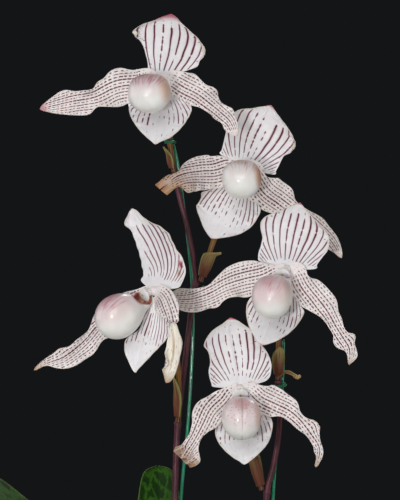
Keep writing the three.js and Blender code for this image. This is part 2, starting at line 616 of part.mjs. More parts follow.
// Two fans of strap leaves, folded at the foot round the stems and keeled along the midrib
const LEAF_WIDTH = [[0, 5], [0.15, 8], [0.45, 18], [0.75, 19.5], [0.92, 14], [1, 5]];
const UP = [0, 0, 1];
const LEAF_FOOT = MIX_TOP - HOLE_DEPTH + 0.8;
const leaves = [
  {
    name: 'leaf_left_tall',
    midrib: [[-21.5, 13.4, LEAF_FOOT], [-24, 17, 115], [-28, 24, 150], [-31.5, 28, 200], [-33, 30, 246]],
    width: [[0, 4.6], [0.2, 9], [0.55, 16], [0.8, 14], [0.93, 9.5], [1, 4]],
    faceStart: [0.15, -1, 0.1],
  },
  {
    name: 'leaf_left_long',
    midrib: [[-25.8, 6, LEAF_FOOT], [-29, 5, 112], [-48, 0, 150], [-78, -5, 193], [-108, -8, 225],
      [-136, -10, 245], [-158, -12, 254]],
    faceStart: [0.2, -0.25, 1],
  },
  {
    name: 'leaf_left_low',
    midrib: [[-27.2, 1.4, LEAF_FOOT], [-31.5, -2, 110], [-49, -16, 135], [-75, -34, 150], [-102, -51, 148], [-125, -66, 134]],
  },
  {
    name: 'leaf_back_left',
    midrib: [[-12.4, 6.8, LEAF_FOOT], [-9.5, 8.5, 108], [4, 14, 142], [22, 25, 172], [42, 38, 192], [60, 50, 198]],
  },
  {
    name: 'leaf_front_left',
    midrib: [[-17, -0.6, LEAF_FOOT], [-16, -4.5, 110], [-12, -24, 136], [-14, -48, 148], [-20, -72, 147], [-27, -94, 134]],
  },
  {
    name: 'leaf_right_tall',
    midrib: [[35, -2.5, LEAF_FOOT], [38.5, -2, 108], [48, 0, 140], [63, 4, 178], [81, 9, 205], [97, 14, 215]],
    faceStart: [-0.2, 0, 1],
  },
  {
    name: 'leaf_right_low',
    midrib: [[36.5, -9, LEAF_FOOT], [40, -12.5, 108], [57, -25, 133], [82, -40, 146], [108, -54, 145], [131, -66, 132]],
  },
  {
    name: 'leaf_front_right',
    midrib: [[27.5, -10.5, LEAF_FOOT], [27.3, -13.5, 108], [28, -31, 135], [34, -54, 153], [42, -80, 156], [50, -104, 146]],
  },
  {
    name: 'leaf_back_right',
    midrib: [[26, 2.6, LEAF_FOOT], [25.5, 5.6, 108], [24, 28, 140], [28, 56, 160], [34, 82, 164], [40, 106, 154]],
  },
];
const LEAF_CUP = runOf([[0, 0.7], [0.3, 0.5], [0.7, 0.2], [1, 0.15]]);
leaves.forEach((leaf) => {
  const shape = {
    faceStart: UP,
    cup: LEAF_CUP,
    keel: 1.6,
    rows: 9,
    cols: 4,
    thickness: LEAF_THICKNESS,
    ...leaf,
    width: runOf(leaf.width ?? LEAF_WIDTH),
  };
  addPiece(leaf.name, blade(shape), leafGreen);
});

// The pot: a plain moulded shell with a rolled rim and drain holes in a ring
const potRadius = (z) => POT_FOOT_RADIUS + ((POT_TOP_RADIUS - POT_FOOT_RADIUS) * z) / POT_HEIGHT;
const rimLow = POT_HEIGHT - RIM_HEIGHT;
const potProfile = [
  [0, 0], [POT_FOOT_RADIUS - 1.2, 0], [potRadius(1.2), 1.2],
  [potRadius(rimLow), rimLow], [potRadius(rimLow) + RIM_OUT, rimLow + 1],
  [POT_TOP_RADIUS + RIM_OUT, POT_HEIGHT - 1.6], [POT_TOP_RADIUS + RIM_OUT - 1, POT_HEIGHT],
  [POT_TOP_RADIUS - POT_WALL + 0.8, POT_HEIGHT], [POT_TOP_RADIUS - POT_WALL, POT_HEIGHT - 1],
  [potRadius(POT_FLOOR) - POT_WALL, POT_FLOOR], [0, POT_FLOOR],
];
const POT_SIDES = 40;
const revolve = (profile, sides) =>
  new THREE.LatheGeometry(profile.map(([r, z]) => new THREE.Vector2(r, z)), sides).rotateX(Math.PI / 2);

function upright(radiusX, radiusY, sides, x, y, low, high) {
  const geometry = new THREE.CylinderGeometry(1, 1, high - low, sides).rotateX(Math.PI / 2);
  return toSolid(geometry.scale(radiusX, radiusY, 1).translate(x, y, (low + high) / 2));
}

let potSolid = toSolid(revolve(potProfile, POT_SIDES));
for (let k = 0; k < DRAIN_COUNT; k += 1) {
  const angle = (2 * Math.PI * k) / DRAIN_COUNT;
  const [x, y] = [DRAIN_RING * Math.cos(angle), DRAIN_RING * Math.sin(angle)];
  potSolid = potSolid.subtract(upright(DRAIN_RADIUS, DRAIN_RADIUS, 12, x, y, -1, POT_FLOOR + 1));
}
addPiece('pot', fromSolid(potSolid), potClay);

// The bark mix: a plug that fills the pot, with chips in relief and plain holes for what stands in it
const mixRadius = (z) => potRadius(z) - POT_WALL - FIT_GAP;
const mixLow = POT_FLOOR + FIT_GAP;
let mixSolid = toSolid(revolve(
  [[0, mixLow], [mixRadius(mixLow) - 0.5, mixLow], [mixRadius(MIX_TOP) - 0.2, MIX_TOP], [0, MIX_TOP]],
  POT_SIDES,
));
const FAN_HOLES = [[-20.5, 6], [30.5, -4.5]];
const FAN_HALF = [15.5, 12.5];
const STAKE_FEET = [leftStake[0], rightStake[0]];
let seed = 20251;
const draw = () => {
  seed = (seed * 1103515245 + 12345) % 2147483648;
  return seed / 2147483648;
};
const CHIP_COUNT = 56;
const GOLDEN_ANGLE = Math.PI * (3 - Math.sqrt(5));
for (let k = 0; k < CHIP_COUNT; k += 1) {
  const reach = (mixRadius(MIX_TOP) - 10) * Math.sqrt((k + 0.5) / CHIP_COUNT);
  const angle = k * GOLDEN_ANGLE + 0.3 * draw();
  const chip = new THREE.BoxGeometry(9 + 7 * draw(), 6 + 4 * draw(), 5 + 2 * draw());
  const turn = new THREE.Euler(0.5 * (draw() - 0.5), 0.5 * (draw() - 0.5), 2 * Math.PI * draw());
  chip.applyQuaternion(new THREE.Quaternion().setFromEuler(turn));
  chip.translate(reach * Math.cos(angle), reach * Math.sin(angle), MIX_TOP - 0.8 + 1.6 * draw());
  mixSolid = mixSolid.add(toSolid(chip));
}
FAN_HOLES.forEach(([x, y]) => {
  mixSolid = mixSolid.subtract(
    upright(FAN_HALF[0], FAN_HALF[1], 20, x, y, MIX_TOP - HOLE_DEPTH, MIX_TOP + HOLE_DEPTH),
  );
});
STAKE_FEET.forEach(([x, y]) => {
  const hole = STAKE_RADIUS + 2 * FIT_GAP;
  mixSolid = mixSolid.subtract(upright(hole, hole, 10, x, y, MIX_TOP - STAKE_DEPTH, MIX_TOP + HOLE_DEPTH));
});
addPiece('potting_mix', fromSolid(mixSolid), mixBrown);

export default plant;
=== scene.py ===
# Potted slipper orchid: two staked flower stems with five striped white flowers,
# above two fans of mottled strap leaves in a clay-coloured pot of bark.

import math

import bpy
import numpy as np
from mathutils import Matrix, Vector


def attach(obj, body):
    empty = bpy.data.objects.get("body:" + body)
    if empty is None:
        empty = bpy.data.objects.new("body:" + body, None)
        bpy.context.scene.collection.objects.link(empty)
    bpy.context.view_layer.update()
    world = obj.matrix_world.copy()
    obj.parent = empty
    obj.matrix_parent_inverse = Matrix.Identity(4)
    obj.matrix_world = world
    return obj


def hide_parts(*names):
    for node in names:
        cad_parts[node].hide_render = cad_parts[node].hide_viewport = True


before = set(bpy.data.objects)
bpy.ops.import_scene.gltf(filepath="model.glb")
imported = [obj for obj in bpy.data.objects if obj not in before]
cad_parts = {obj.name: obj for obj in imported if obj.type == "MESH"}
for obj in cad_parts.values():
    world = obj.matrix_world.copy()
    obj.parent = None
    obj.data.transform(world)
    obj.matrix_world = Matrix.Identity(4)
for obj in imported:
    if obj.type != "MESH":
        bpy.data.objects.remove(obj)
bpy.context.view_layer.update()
MM = 0.001


# Camera
# The photograph looks level at the flowers from about a metre, with a long lens,
# so the pot and most of the leaves are below its lower edge.
scene = bpy.context.scene
camera = bpy.data.objects.new("camera", bpy.data.cameras.new("camera"))
camera.data.lens = 120
camera.data.sensor_width = 36
camera.location = (-7 * MM, -1000 * MM, 380 * MM)
camera.rotation_euler = (math.radians(90), 0, 0)
scene.collection.objects.link(camera)
scene.camera = camera


# Floor and studio
# A round table of pale painted board, and a dark paper wall far behind it. The lamps are
# softboxes: a small one left of the camera, as its flash was, and wide ones all round.
def linear(text):
    channels = [int(text[k:k + 2], 16) / 255 for k in (1, 3, 5)]
    return [c / 12.92 if c <= 0.04045 else ((c + 0.055) / 1.055) ** 2.4 for c in channels] + [1.0]


def add(tree, kind, inputs=None, out=0, stops=(), **settings):
    """One node: its settings, its colour stops, and its inputs, each a value or another node's output."""
    made = tree.nodes.new("ShaderNode" + kind)
    for key, value in settings.items():
        setattr(made, key, value)
    for k, (place, text) in enumerate(stops):
        stop = made.color_ramp.elements[k] if k < 2 else made.color_ramp.elements.new(place)
        stop.position = place
        stop.color = linear(text)
    for key, value in (inputs or {}).items():
        if isinstance(value, bpy.types.NodeSocket):
            tree.links.new(value, made.inputs[key])
        else:
            made.inputs[key].default_value = linear(value) if isinstance(value, str) else value
    return made.outputs[out] if made.outputs else None


def new_material(name):
    made = bpy.data.materials.new(name)
    made.use_nodes = True
    made.node_tree.nodes.clear()
    return made, made.node_tree


FLOOR_RADIUS = 1200
FLOOR_SIDES = 96
board, tree = new_material("painted_board")
speck = add(tree, "TexNoise", {"Scale": 60, "Detail": 3})
tone = add(tree, "ValToRGB", {0: speck}, stops=[(0.3, "#d3d1cd"), (0.7, "#d9d7d3")])
skin = add(tree, "BsdfPrincipled", {"Base Color": tone, "Roughness": 0.8})
add(tree, "OutputMaterial", {0: skin})

turn = np.linspace(0, 2 * np.pi, FLOOR_SIDES, endpoint=False)
rim = np.stack([np.cos(turn), np.sin(turn), 0 * turn], 1) * FLOOR_RADIUS * MM
sheet = bpy.data.meshes.new("floor")
sheet.from_pydata(rim.tolist(), [], [list(range(FLOOR_SIDES))])
sheet.materials.append(board)
floor = bpy.data.objects.new("floor", sheet)
scene.collection.objects.link(floor)

world = bpy.data.worlds.new("studio")
world.use_nodes = True
world.node_tree.nodes["Background"].inputs[0].default_value = linear("#141517")
world.node_tree.nodes["Background"].inputs[1].default_value = 1.0
scene.world = world
scene.view_settings.view_transform = "Standard"

# Each lamp: its name, place, aim, width, height and watts. The first is as small as a flash
# behind a diffuser, so it gives the pouches their bright points.
LAMPS = [
    ("flash_softbox", (-250, -960, 310), (0, -30, 370), 90, 90, 2.8),
    ("front_softbox", (-200, -1050, 760), (0, 0, 320), 800, 500, 5.7),
    ("right_softbox", (1000, -350, 500), (0, 0, 280), 600, 800, 2.4),
    ("back_softbox", (300, 900, 1100), (0, 0, 250), 800, 500, 6),
    ("left_softbox", (-1000, 200, 600), (0, 0, 250), 600, 700, 2.4),
]
for name, place, target, wide, high, watts in LAMPS:
    light = bpy.data.lights.new(name, "AREA")
    light.shape = "RECTANGLE"
    light.size = wide * MM
    light.size_y = high * MM
    light.energy = watts
    lamp = bpy.data.objects.new(name, light)
    lamp.location = [c * MM for c in place]
    away = Vector(place) - Vector(target)
    lamp.rotation_euler = away.to_track_quat("Z", "Y").to_euler()
    scene.collection.objects.link(lamp)


# Pot
# A round flower pot of clay-coloured polypropylene, moulded thin, with a stepped collar,
# a rolled lip and six drain holes. It stands on a foot ring. All sizes are in millimetres.
POT_HEIGHT = 112
POT_TOP = 62.4
POT_FOOT = 47
POT_WALL = 2.2
POT_FLOOR = 3
RIM_LOW = 98
RIM_OUT = 2.6
DRAIN_RADIUS = 4
DRAIN_RING = 33
DRAIN_COUNT = 6
DRAIN_SIDES = 24


def pot_radius(z):
    return POT_FOOT + (POT_TOP - POT_FOOT) * z / POT_HEIGHT


def make_mesh(name, points, faces, materials, kinds=None, values=None):
    """A smooth mesh from points in millimetres, whose faces look outwards."""
    points = np.asarray(points, float).reshape(-1, 3)
    corners = np.array([list(f[:3]) + [f[3] if len(f) == 4 else f[2]] for f in faces if len(f) < 5])
    a, b, c, d = (points[corners[:, k]] for k in range(4))
    volume = np.sum(a * np.cross(b, c)) + np.sum(a * np.cross(c, d))
    if volume < 0:
        faces = [f[::-1] for f in faces]
    mesh = bpy.data.meshes.new(name)
    mesh.from_pydata((points * MM).tolist(), [], [list(map(int, f)) for f in faces])
    for made in materials:
        mesh.materials.append(made)
    if kinds is not None:
        mesh.polygons.foreach_set("material_index", np.asarray(kinds, np.int32))
    mesh.polygons.foreach_set("use_smooth", [True] * len(mesh.polygons))
    for key, value in (values or {}).items():
        held = mesh.attributes.new(key, "FLOAT_VECTOR", "POINT")
        held.data.foreach_set("vector", np.asarray(value, np.float32).reshape(-1))
    mesh.update()
    piece = bpy.data.objects.new(name, mesh)
    scene.collection.objects.link(piece)
    return piece


def settle(piece, slot, *nodes):
    """The piece moves with the plant and stands for the nodes, whose parts are hidden. slot is not used."""
    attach(piece, "root")
    if nodes:
        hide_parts(*nodes)
    return piece


def wrap(rows, cols, closed=True, start=0):
    """Four-sided faces of a grid of rows x cols points; closed joins its last column to its first."""
    faces = []
    for i in range(rows - 1):
        for j in range(cols if closed else cols - 1):
            n = (j + 1) % cols
            a, b = start + i * cols, start + (i + 1) * cols
            faces.append([a + j, b + j, b + n, a + n])
    return faces


POT_PROFILE = [
    (0, 1.2), (20, 1.2), (36, 1.2), (43, 1.2), (44.2, 0.3), (45.6, 0), (46.4, 0.2), (47.1, 1.2), (47.6, 3),
    (pot_radius(12), 12), (pot_radius(13), 13.0), (pot_radius(40), 40), (pot_radius(70), 70),
    (pot_radius(90), 90), (pot_radius(96), 96), (pot_radius(97.4), 97.4), (pot_radius(RIM_LOW) + 0.7, 98.1),
    (pot_radius(RIM_LOW) + 2.1, 98.4), (pot_radius(RIM_LOW) + RIM_OUT, 99.2), (62.9, 102), (63.6, 106),
    (64.1, 108.6), (64.9, 109.4), (65.2, 110.4), (64.9, 111.4), (64, POT_HEIGHT), (62.8, 111.9),
    (61.4, 111.5),
    (60.6, 110.6), (60.1, 109), (pot_radius(99) - POT_WALL, 99), (pot_radius(80) - POT_WALL, 80),
    (pot_radius(40) - POT_WALL, 40), (pot_radius(5) - POT_WALL, 5), (pot_radius(3) - POT_WALL - 1, 3.2),
    (0, POT_FLOOR),
]
POT_SIDES = 128
profile = np.array(POT_PROFILE[1:-1])
turn = np.linspace(0, 2 * np.pi, POT_SIDES, endpoint=False)
rings = np.stack([
    profile[:, :1] * np.cos(turn), profile[:, :1] * np.sin(turn), profile[:, 1:] + 0 * turn,
], 2)
points = list(rings.reshape(-1, 3)) + [(0, 0, POT_PROFILE[0][1]), (0, 0, POT_PROFILE[-1][1])]
faces = wrap(len(profile), POT_SIDES)
last = (len(profile) - 1) * POT_SIDES
under, floor_middle = len(points) - 2, len(points) - 1
for k in range(POT_SIDES):
    n = (k + 1) % POT_SIDES
    faces.append([under, k, n])
    faces.append([floor_middle, last + n, last + k])

# Polypropylene moulded in a blasted tool: matt with a fine grain, scuffed and dusty low down,
# with pale lime left by dried water below the collar.
plastic, tree = new_material("clay_coloured_polypropylene_moulded")
place = add(tree, "TexCoord", out=3)
high = add(tree, "SeparateXYZ", {0: place}, out=2)
cloud = add(tree, "TexNoise", {"Vector": place, "Scale": 38, "Detail": 5, "Roughness": 0.6})
clay = add(tree, "ValToRGB", {0: cloud}, stops=[(0.3, "#7d412a"), (0.7, "#96543a")])
GRAIN_MM = 0.6
grain = add(tree, "TexNoise", {"Vector": place, "Scale": 1000 / GRAIN_MM, "Detail": 2})
runs = add(tree, "VectorMath", {0: place, 1: (90, 90, 9)}, operation="MULTIPLY")
lime = add(tree, "TexNoise", {"Vector": runs, "Scale": 1, "Detail": 6, "Roughness": 0.7})
lime_low = add(tree, "MapRange", {0: high, 1: 0.1, 2: 0.05, 3: 0.0, 4: 0.16})
lime_high = add(tree, "Math", {0: lime, 1: lime_low}, operation="ADD")
lime_mask = add(tree, "MapRange", {0: lime_high, 1: 0.62, 2: 0.82, 3: 0.0, 4: 0.4})
dusty = add(tree, "Mix", {0: lime_mask, 6: clay, 7: "#c3ab98"}, out=2, data_type="RGBA")
soil = add(tree, "MapRange", {0: high, 1: 0.02, 2: 0.0, 3: 0.0, 4: 0.45})
grubby = add(tree, "Mix", {0: soil, 6: dusty, 7: "#5d3b2b"}, out=2, data_type="RGBA")
rough = add(tree, "MapRange", {0: cloud, 1: 0.3, 2: 0.7, 3: 0.5, 4: 0.66})
bump = add(tree, "Bump", {"Height": grain, "Strength": 0.25, "Distance": 0.0002})
skin = add(tree, "BsdfPrincipled", {"Base Color": grubby, "Roughness": rough, "Normal": bump, "IOR": 1.49})
add(tree, "OutputMaterial", {0: skin})

pot = make_mesh("pot_moulded", points, faces, [plastic])
for k in range(DRAIN_COUNT):
    angle = 2 * np.pi * k / DRAIN_COUNT
    hole = np.linspace(0, 2 * np.pi, DRAIN_SIDES, endpoint=False)
    x = DRAIN_RING * np.cos(angle) + DRAIN_RADIUS * np.cos(hole)
    y = DRAIN_RING * np.sin(angle) + DRAIN_RADIUS * np.sin(hole)
    tube = [(a, b, z) for z in (-2, 6) for a, b in zip(x, y)]
    lids = [list(range(DRAIN_SIDES)), list(range(2 * DRAIN_SIDES - 1, DRAIN_SIDES - 1, -1))]
    cutter = make_mesh("drain_cutter", tube, wrap(2, DRAIN_SIDES) + lids, [])
    cut = pot.modifiers.new("drain", "BOOLEAN")
    cut.operation = "DIFFERENCE"
    cut.solver = "EXACT"
    cut.object = cutter
    bpy.context.view_layer.update()
    cut_mesh = bpy.data.meshes.new_from_object(pot.evaluated_get(bpy.context.evaluated_depsgraph_get()))
    pot.modifiers.clear()
    pot.data = cut_mesh
    bpy.data.objects.remove(cutter)
settle(pot, "pot", "pot")


# Bark mix
# Chips of pine bark, broken and screened, with a little charcoal and pumice. They lie loose
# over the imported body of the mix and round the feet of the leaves.
MIX_TOP = 100
MIX_LOW = 3.3
MIX_BODY_TOP = 96
MIX_GAP = 0.3
MIX_SIDES = 96
CHIPS = 430
GOLDEN_TURN = math.pi * (3 - math.sqrt(5))
draw = np.random.default_rng(11)


def mix_radius(z):
    return pot_radius(z) - POT_WALL - MIX_GAP


# Pine bark: layered cork, red-brown inside and grey-brown where it weathered. Rough and dull,
# with darker bands about 1.5 mm apart along each chip.
bark, tree = new_material("pine_bark_broken")
place = add(tree, "TexCoord", out=3)
pick = add(tree, "Attribute", attribute_name="chip", out=1)
own = add(tree, "SeparateXYZ", {0: pick}, out=0)
LAYER_MM = 1.5
layers = add(tree, "TexNoise", {"Vector": place, "Scale": 1000 / LAYER_MM / 4, "Detail": 6, "Roughness": 0.7})
mixed = add(tree, "Math", {0: own, 1: layers}, operation="ADD")
tone = add(tree, "ValToRGB", {0: add(tree, "Math", {0: mixed, 1: 0.55}, operation="MULTIPLY")},
           stops=[(0.18, "#2b1c15"), (0.42, "#5a3524"), (0.62, "#7c4d33"), (0.85, "#9a7a5d"),
                  (0.96, "#a88c70"), (1.0, "#d2cabb")])
wet = add(tree, "MapRange", {0: layers, 1: 0.3, 2: 0.7, 3: 0.95, 4: 0.7})
bump = add(tree, "Bump", {"Height": layers, "Strength": 0.9, "Distance": 0.0009})
skin = add(tree, "BsdfPrincipled", {"Base Color": tone, "Roughness": wet, "Normal": bump, "IOR": 1.5})
add(tree, "OutputMaterial", {0: skin})

body_profile = np.array([(mix_radius(MIX_LOW) - 0.6, MIX_LOW), (mix_radius(50) - 0.2, 50),
                         (mix_radius(88) - 0.3, 88),
                         (mix_radius(94) - 1, 94), (46, 95.5), (30, MIX_BODY_TOP), (12, MIX_BODY_TOP)])
turn = np.linspace(0, 2 * np.pi, MIX_SIDES, endpoint=False)
lumps = np.minimum(1 + 0.012 * np.sin(7 * turn) + 0.01 * np.sin(13 * turn + 1), 1)
rings = np.stack([
    body_profile[:, :1] * np.cos(turn) * lumps, body_profile[:, :1] * np.sin(turn) * lumps,
    body_profile[:, 1:] + 0 * turn,
], 2)
body_points = rings.reshape(-1, 3)
count = len(body_points)
body_faces = wrap(len(body_profile), MIX_SIDES)
body_points = np.vstack([body_points, [(0, 0, MIX_LOW)], [(0, 0, MIX_BODY_TOP)]])
for k in range(MIX_SIDES):
    n = (k + 1) % MIX_SIDES
    body_faces.append([count, k, n])
    body_faces.append([count + 1, count - MIX_SIDES + n, count - MIX_SIDES + k])

cube = np.array([(x, y, z) for x in (-1, 1) for y in (-1, 1) for z in (-1, 1)], float)
cube_faces = [[0, 1, 3, 2], [4, 6, 7, 5], [0, 4, 5, 1], [2, 3, 7, 6], [0, 2, 6, 4], [1, 5, 7, 3]]


def subdivided(points, faces, times):
    """A mesh whose corners are rounded by so many Catmull-Clark steps."""
    made = bpy.data.meshes.new("rounding")
    made.from_pydata(points.tolist(), [], faces)
    holder = bpy.data.objects.new("rounding", made)
    scene.collection.objects.link(holder)
    step = holder.modifiers.new("split", "SUBSURF")
    step.levels = times
    step.render_levels = times
    bpy.context.view_layer.update()
    done = bpy.data.meshes.new_from_object(holder.evaluated_get(bpy.context.evaluated_depsgraph_get()))
    out = np.array([v.co for v in done.vertices])
    sides = [list(p.vertices) for p in done.polygons]
    bpy.data.objects.remove(holder)
    bpy.data.meshes.remove(made)
    bpy.data.meshes.remove(done)
    return out, sides


def turned(points, yaw, pitch, roll):
    """Points turned about the x axis by roll, then y by pitch, then z by yaw, in radians."""
    cy, sy, cp, sp, cr, sr = (f(a) for a in (yaw, pitch, roll) for f in (math.cos, math.sin))
    spin = np.array([[cy, -sy, 0], [sy, cy, 0], [0, 0, 1]])
    nod = np.array([[cp, 0, sp], [0, 1, 0], [-sp, 0, cp]])
    lean = np.array([[1, 0, 0], [0, cr, -sr], [0, sr, cr]])
    return points @ (spin @ nod @ lean).T


# Each chip is the rounded box, shaken a little out of shape, turned and dropped on a spiral
# over the mix. One in ten is a small round stone of pale pumice.
chip_points, chip_faces = subdivided(cube, cube_faces, 2)
BODY_TONE = 0.25
PUMICE_TONE = 2.2
all_points, all_faces = [body_points], list(body_faces)
own_tone = [np.full((len(body_points), 3), BODY_TONE)]
total = len(body_points)
for k in range(CHIPS):
    reach = (mix_radius(MIX_TOP) - 4.5) * math.sqrt((k + 0.5) / CHIPS)
    angle = k * GOLDEN_TURN + 0.5 * draw.random()
    size = np.array([3.6 + 4.6 * draw.random(), 2.4 + 2.6 * draw.random(), 1.3 + 1.5 * draw.random()])
    pumice = draw.random() < 0.1
    if pumice:
        size = np.array([2.4, 2.2, 1.9]) * (0.7 + 0.5 * draw.random())
    corner = chip_points * 1.18 + 0.16 * draw.standard_normal(chip_points.shape)
    corner = turned(corner * size, 2 * np.pi * draw.random(), 0.9 * (draw.random() - 0.5),
                    0.9 * (draw.random() - 0.5))
    reach = min(reach, mix_radius(MIX_TOP) - 1.15 * size[0])
    centre = (reach * math.cos(angle), reach * math.sin(angle), MIX_TOP - 3.6 + 3.2 * draw.random())
    all_points.append(corner + centre)
    all_faces += [[v + total for v in f] for f in chip_faces]
    shade = 0.15 + 1.0 * draw.random() ** 1.3
    own_tone.append(np.full((len(corner), 3), PUMICE_TONE if pumice else shade))
    total += len(corner)
mix = make_mesh("bark_mix", np.vstack(all_points), all_faces, [bark], values={"chip": np.vstack(own_tone)})
settle(mix, "mix", "potting_mix")


# Leaves
# Two fans of strap leaves, thick and leathery, folded at the foot and keeled along the midrib.
# Each grew out of the one before; the upper face is mottled and the underside paler.
def ease(t):
    """A smooth step from 0 to 1."""
    t = np.clip(t, 0, 1)
    return t * t * (3 - 2 * t)


def run_of(pairs, t):
    """A smooth run of values through (t, value) pairs."""
    ts, vs = np.array(pairs, float).T
    low, high = np.r_[0, 0:len(ts) - 1], np.r_[1:len(ts), len(ts) - 1]
    slopes = (vs[high] - vs[low]) / (ts[high] - ts[low])
    t = np.clip(t, ts[0], ts[-1])
    k = np.clip(np.searchsorted(ts, t) - 1, 0, len(ts) - 2)
    span = ts[k + 1] - ts[k]
    u = (t - ts[k]) / span
    rest = (1 - u) ** 2
    return (vs[k] * (1 + 2 * u) * rest + vs[k + 1] * u * u * (3 - 2 * u)
            + slopes[k] * span * u * rest - slopes[k + 1] * span * u * u * (1 - u))


def walk(points, stations):
    """Places and directions at shares of the length of a smooth path, and that length."""
    p = np.array(points, float)
    p = np.vstack([2 * p[0] - p[1], p, 2 * p[-1] - p[-2]])
    u = np.linspace(0, 1, 60, endpoint=False)[:, None]
    line = []
    for a, b, c, d in zip(p, p[1:], p[2:], p[3:]):
        before, here, after = (max(np.linalg.norm(q - r), 1e-6) ** 0.5 for q, r in ((b, a), (c, b), (d, c)))
        leave = ((b - a) / before - (c - a) / (before + here) + (c - b) / here) * here
        come = ((c - b) / here - (d - b) / (here + after) + (d - c) / after) * here
        line.append(b + leave * u + (3 * (c - b) - 2 * leave - come) * u ** 2
                    + (2 * (b - c) + leave + come) * u ** 3)
    line = np.vstack(line + [p[-2:-1]])
    reach = np.r_[0, np.cumsum(np.linalg.norm(np.diff(line, axis=0), axis=1))]
    at = np.asarray(stations) * reach[-1]
    slopes = np.gradient(line, reach, axis=0)
    centre = np.stack([np.interp(at, reach, line[:, k]) for k in range(3)], 1)
    along = np.stack([np.interp(at, reach, slopes[:, k]) for k in range(3)], 1)
    return centre, along / np.linalg.norm(along, axis=1)[:, None], reach[-1]


def unit(v):
    v = np.asarray(v, float)
    return v / np.linalg.norm(v, axis=-1, keepdims=True)


def blade(midrib, width, face, cup, face_end=None, turn_from=0.4, turn_to=1, thickness=0.8, thin=0.5, keel=0,
          wave=0, waves=2, phase=0, frill=0, frills=7, curls=(), crease=0, relief=0, lines=9, tip=0.03,
          fork=0, ruffle=0, hook=0, other=None, heel=0, rows=80, cols=36):
    """A thin sheet along a midrib, with half widths (and other ones for the second side) along it.
    Its section is an arc that cups towards its face, which turns from face to face_end. A curl is
    (side, place along, spread, start across, bend, extra width); wave and frill ripple the margins,
    fork splits the end, ruffle folds it, and hook lifts it. Gives both sheets, each point's place
    across (-1 to 1) and along (0 to 1), and the midrib's length."""
    x = np.linspace(-1, 1, cols + 1)
    s = np.sign(x) * (1 - (1 - np.abs(x)) ** 1.2)
    t = np.linspace(0, 1, rows + 1)
    centre, along, length = walk(midrib, t)
    turn = ease((t - turn_from) / (turn_to - turn_from))[:, None]
    front = unit(face) * (1 - turn) + unit(face if face_end is None else face_end) * turn
    front = unit(front - np.sum(front * along, 1)[:, None] * along)
    across = np.cross(along, front)
    side = np.where(s > 0, 0.0, 1.9)[None, :]
    T, S = t[:, None], s[None, :]
    window = ease(4 * T) * ease(3 * (1 - T))
    half = np.where(S > 0, run_of(width, t)[:, None], run_of(other or width, t)[:, None])
    if heel:
        half = half * np.sqrt(np.clip(1 - np.clip(1 - T / heel, 0, 0.97) ** 2, 0, 1))
    half = half * np.sqrt(np.clip(1 - np.clip((T - 1 + tip) / tip, 0, 0.995) ** 2, 0, 1))
    angle = S * cup(T)
    for which, middle, spread, start, bend, extra in curls:
        bell = np.exp(-((T - middle) / spread) ** 2)
        angle = angle + which * bend * bell * ease((which * S - start) / (1 - start))
        half = half * np.where(which * S > 0, 1 + extra * bell, 1)
    step = np.diff(s)[None, :]
    middle = cols // 2
    halves = 0.5 * (half[:, 1:] + half[:, :-1])
    sideways = np.cumsum(np.hstack([np.zeros((rows + 1, 1)),
                                    halves * 0.5 * (np.cos(angle[:, 1:]) + np.cos(angle[:, :-1])) * step]), 1)
    rise = np.cumsum(np.hstack([np.zeros((rows + 1, 1)),
                                halves * 0.5 * (np.sin(angle[:, 1:]) + np.sin(angle[:, :-1])) * step]), 1)
    sideways -= sideways[:, middle:middle + 1]
    rise -= rise[:, middle:middle + 1]
    margin = ease(np.abs(S)) * window
    rise = rise + wave * margin * np.sin(2 * np.pi * waves * T + phase + side)
    ripple = frill * ease((np.abs(S) - 0.45) / 0.55) * window
    rise = rise + ripple * np.sin(2 * np.pi * frills * T + 2 * side + phase)
    rise = rise - keel * (1 - np.abs(S)) - crease * np.exp(-(S / 0.07) ** 2) * ease(3 * T) * ease(6 * (1 - T))
    rise = rise - relief * np.cos(2 * np.pi * S * lines / 2) * ease(3 * T) * ease(4 * (1 - T))
    rise = rise + ruffle * np.sin(3.2 * np.pi * S + 0.6) * ease((T - 0.78) / 0.22)
    rise = rise + hook * ease((T - 0.9) / 0.1) ** 2
    onward = fork * (np.abs(S) ** 1.2 - 0.35) * ease((T - 0.86) / 0.14)
    tilt = (front[:, None] * np.cos(angle)[..., None] - across[:, None] * np.sin(angle)[..., None])
    point = (centre[:, None] + across[:, None] * sideways[..., None] + front[:, None] * rise[..., None]
             + along[:, None] * onward[..., None])
    deep = 0.5 * thickness * (1 - (1 - thin) * np.abs(S) ** 2)[..., None]
    return point + tilt * deep, point - tilt * deep, S + 0 * T, T + 0 * S, length


def closed_sheets(front, back):
    """Points, faces and kinds (0 the face, 1 the reverse and the edge) of a closed blade."""
    rows, cols = front.shape[:2]
    points = np.vstack([front.reshape(-1, 3), back.reshape(-1, 3)])
    face = wrap(rows, cols, closed=False)
    reverse = [f[::-1] for f in wrap(rows, cols, closed=False, start=rows * cols)]
    edge = [(0, j) for j in range(cols - 1)] + [(i, cols - 1) for i in range(rows - 1)]
    edge += [(rows - 1, j) for j in range(cols - 1, 0, -1)] + [(i, 0) for i in range(rows - 1, 0, -1)]
    ids = [i * cols + j for i, j in edge]
    band = []
    for a, b in zip(ids, ids[1:] + ids[:1]):
        band.append([a, b, b + rows * cols, a + rows * cols])
    kinds = [0] * len(face) + [1] * len(reverse) + [1] * len(band)
    return points, face + reverse + band, kinds


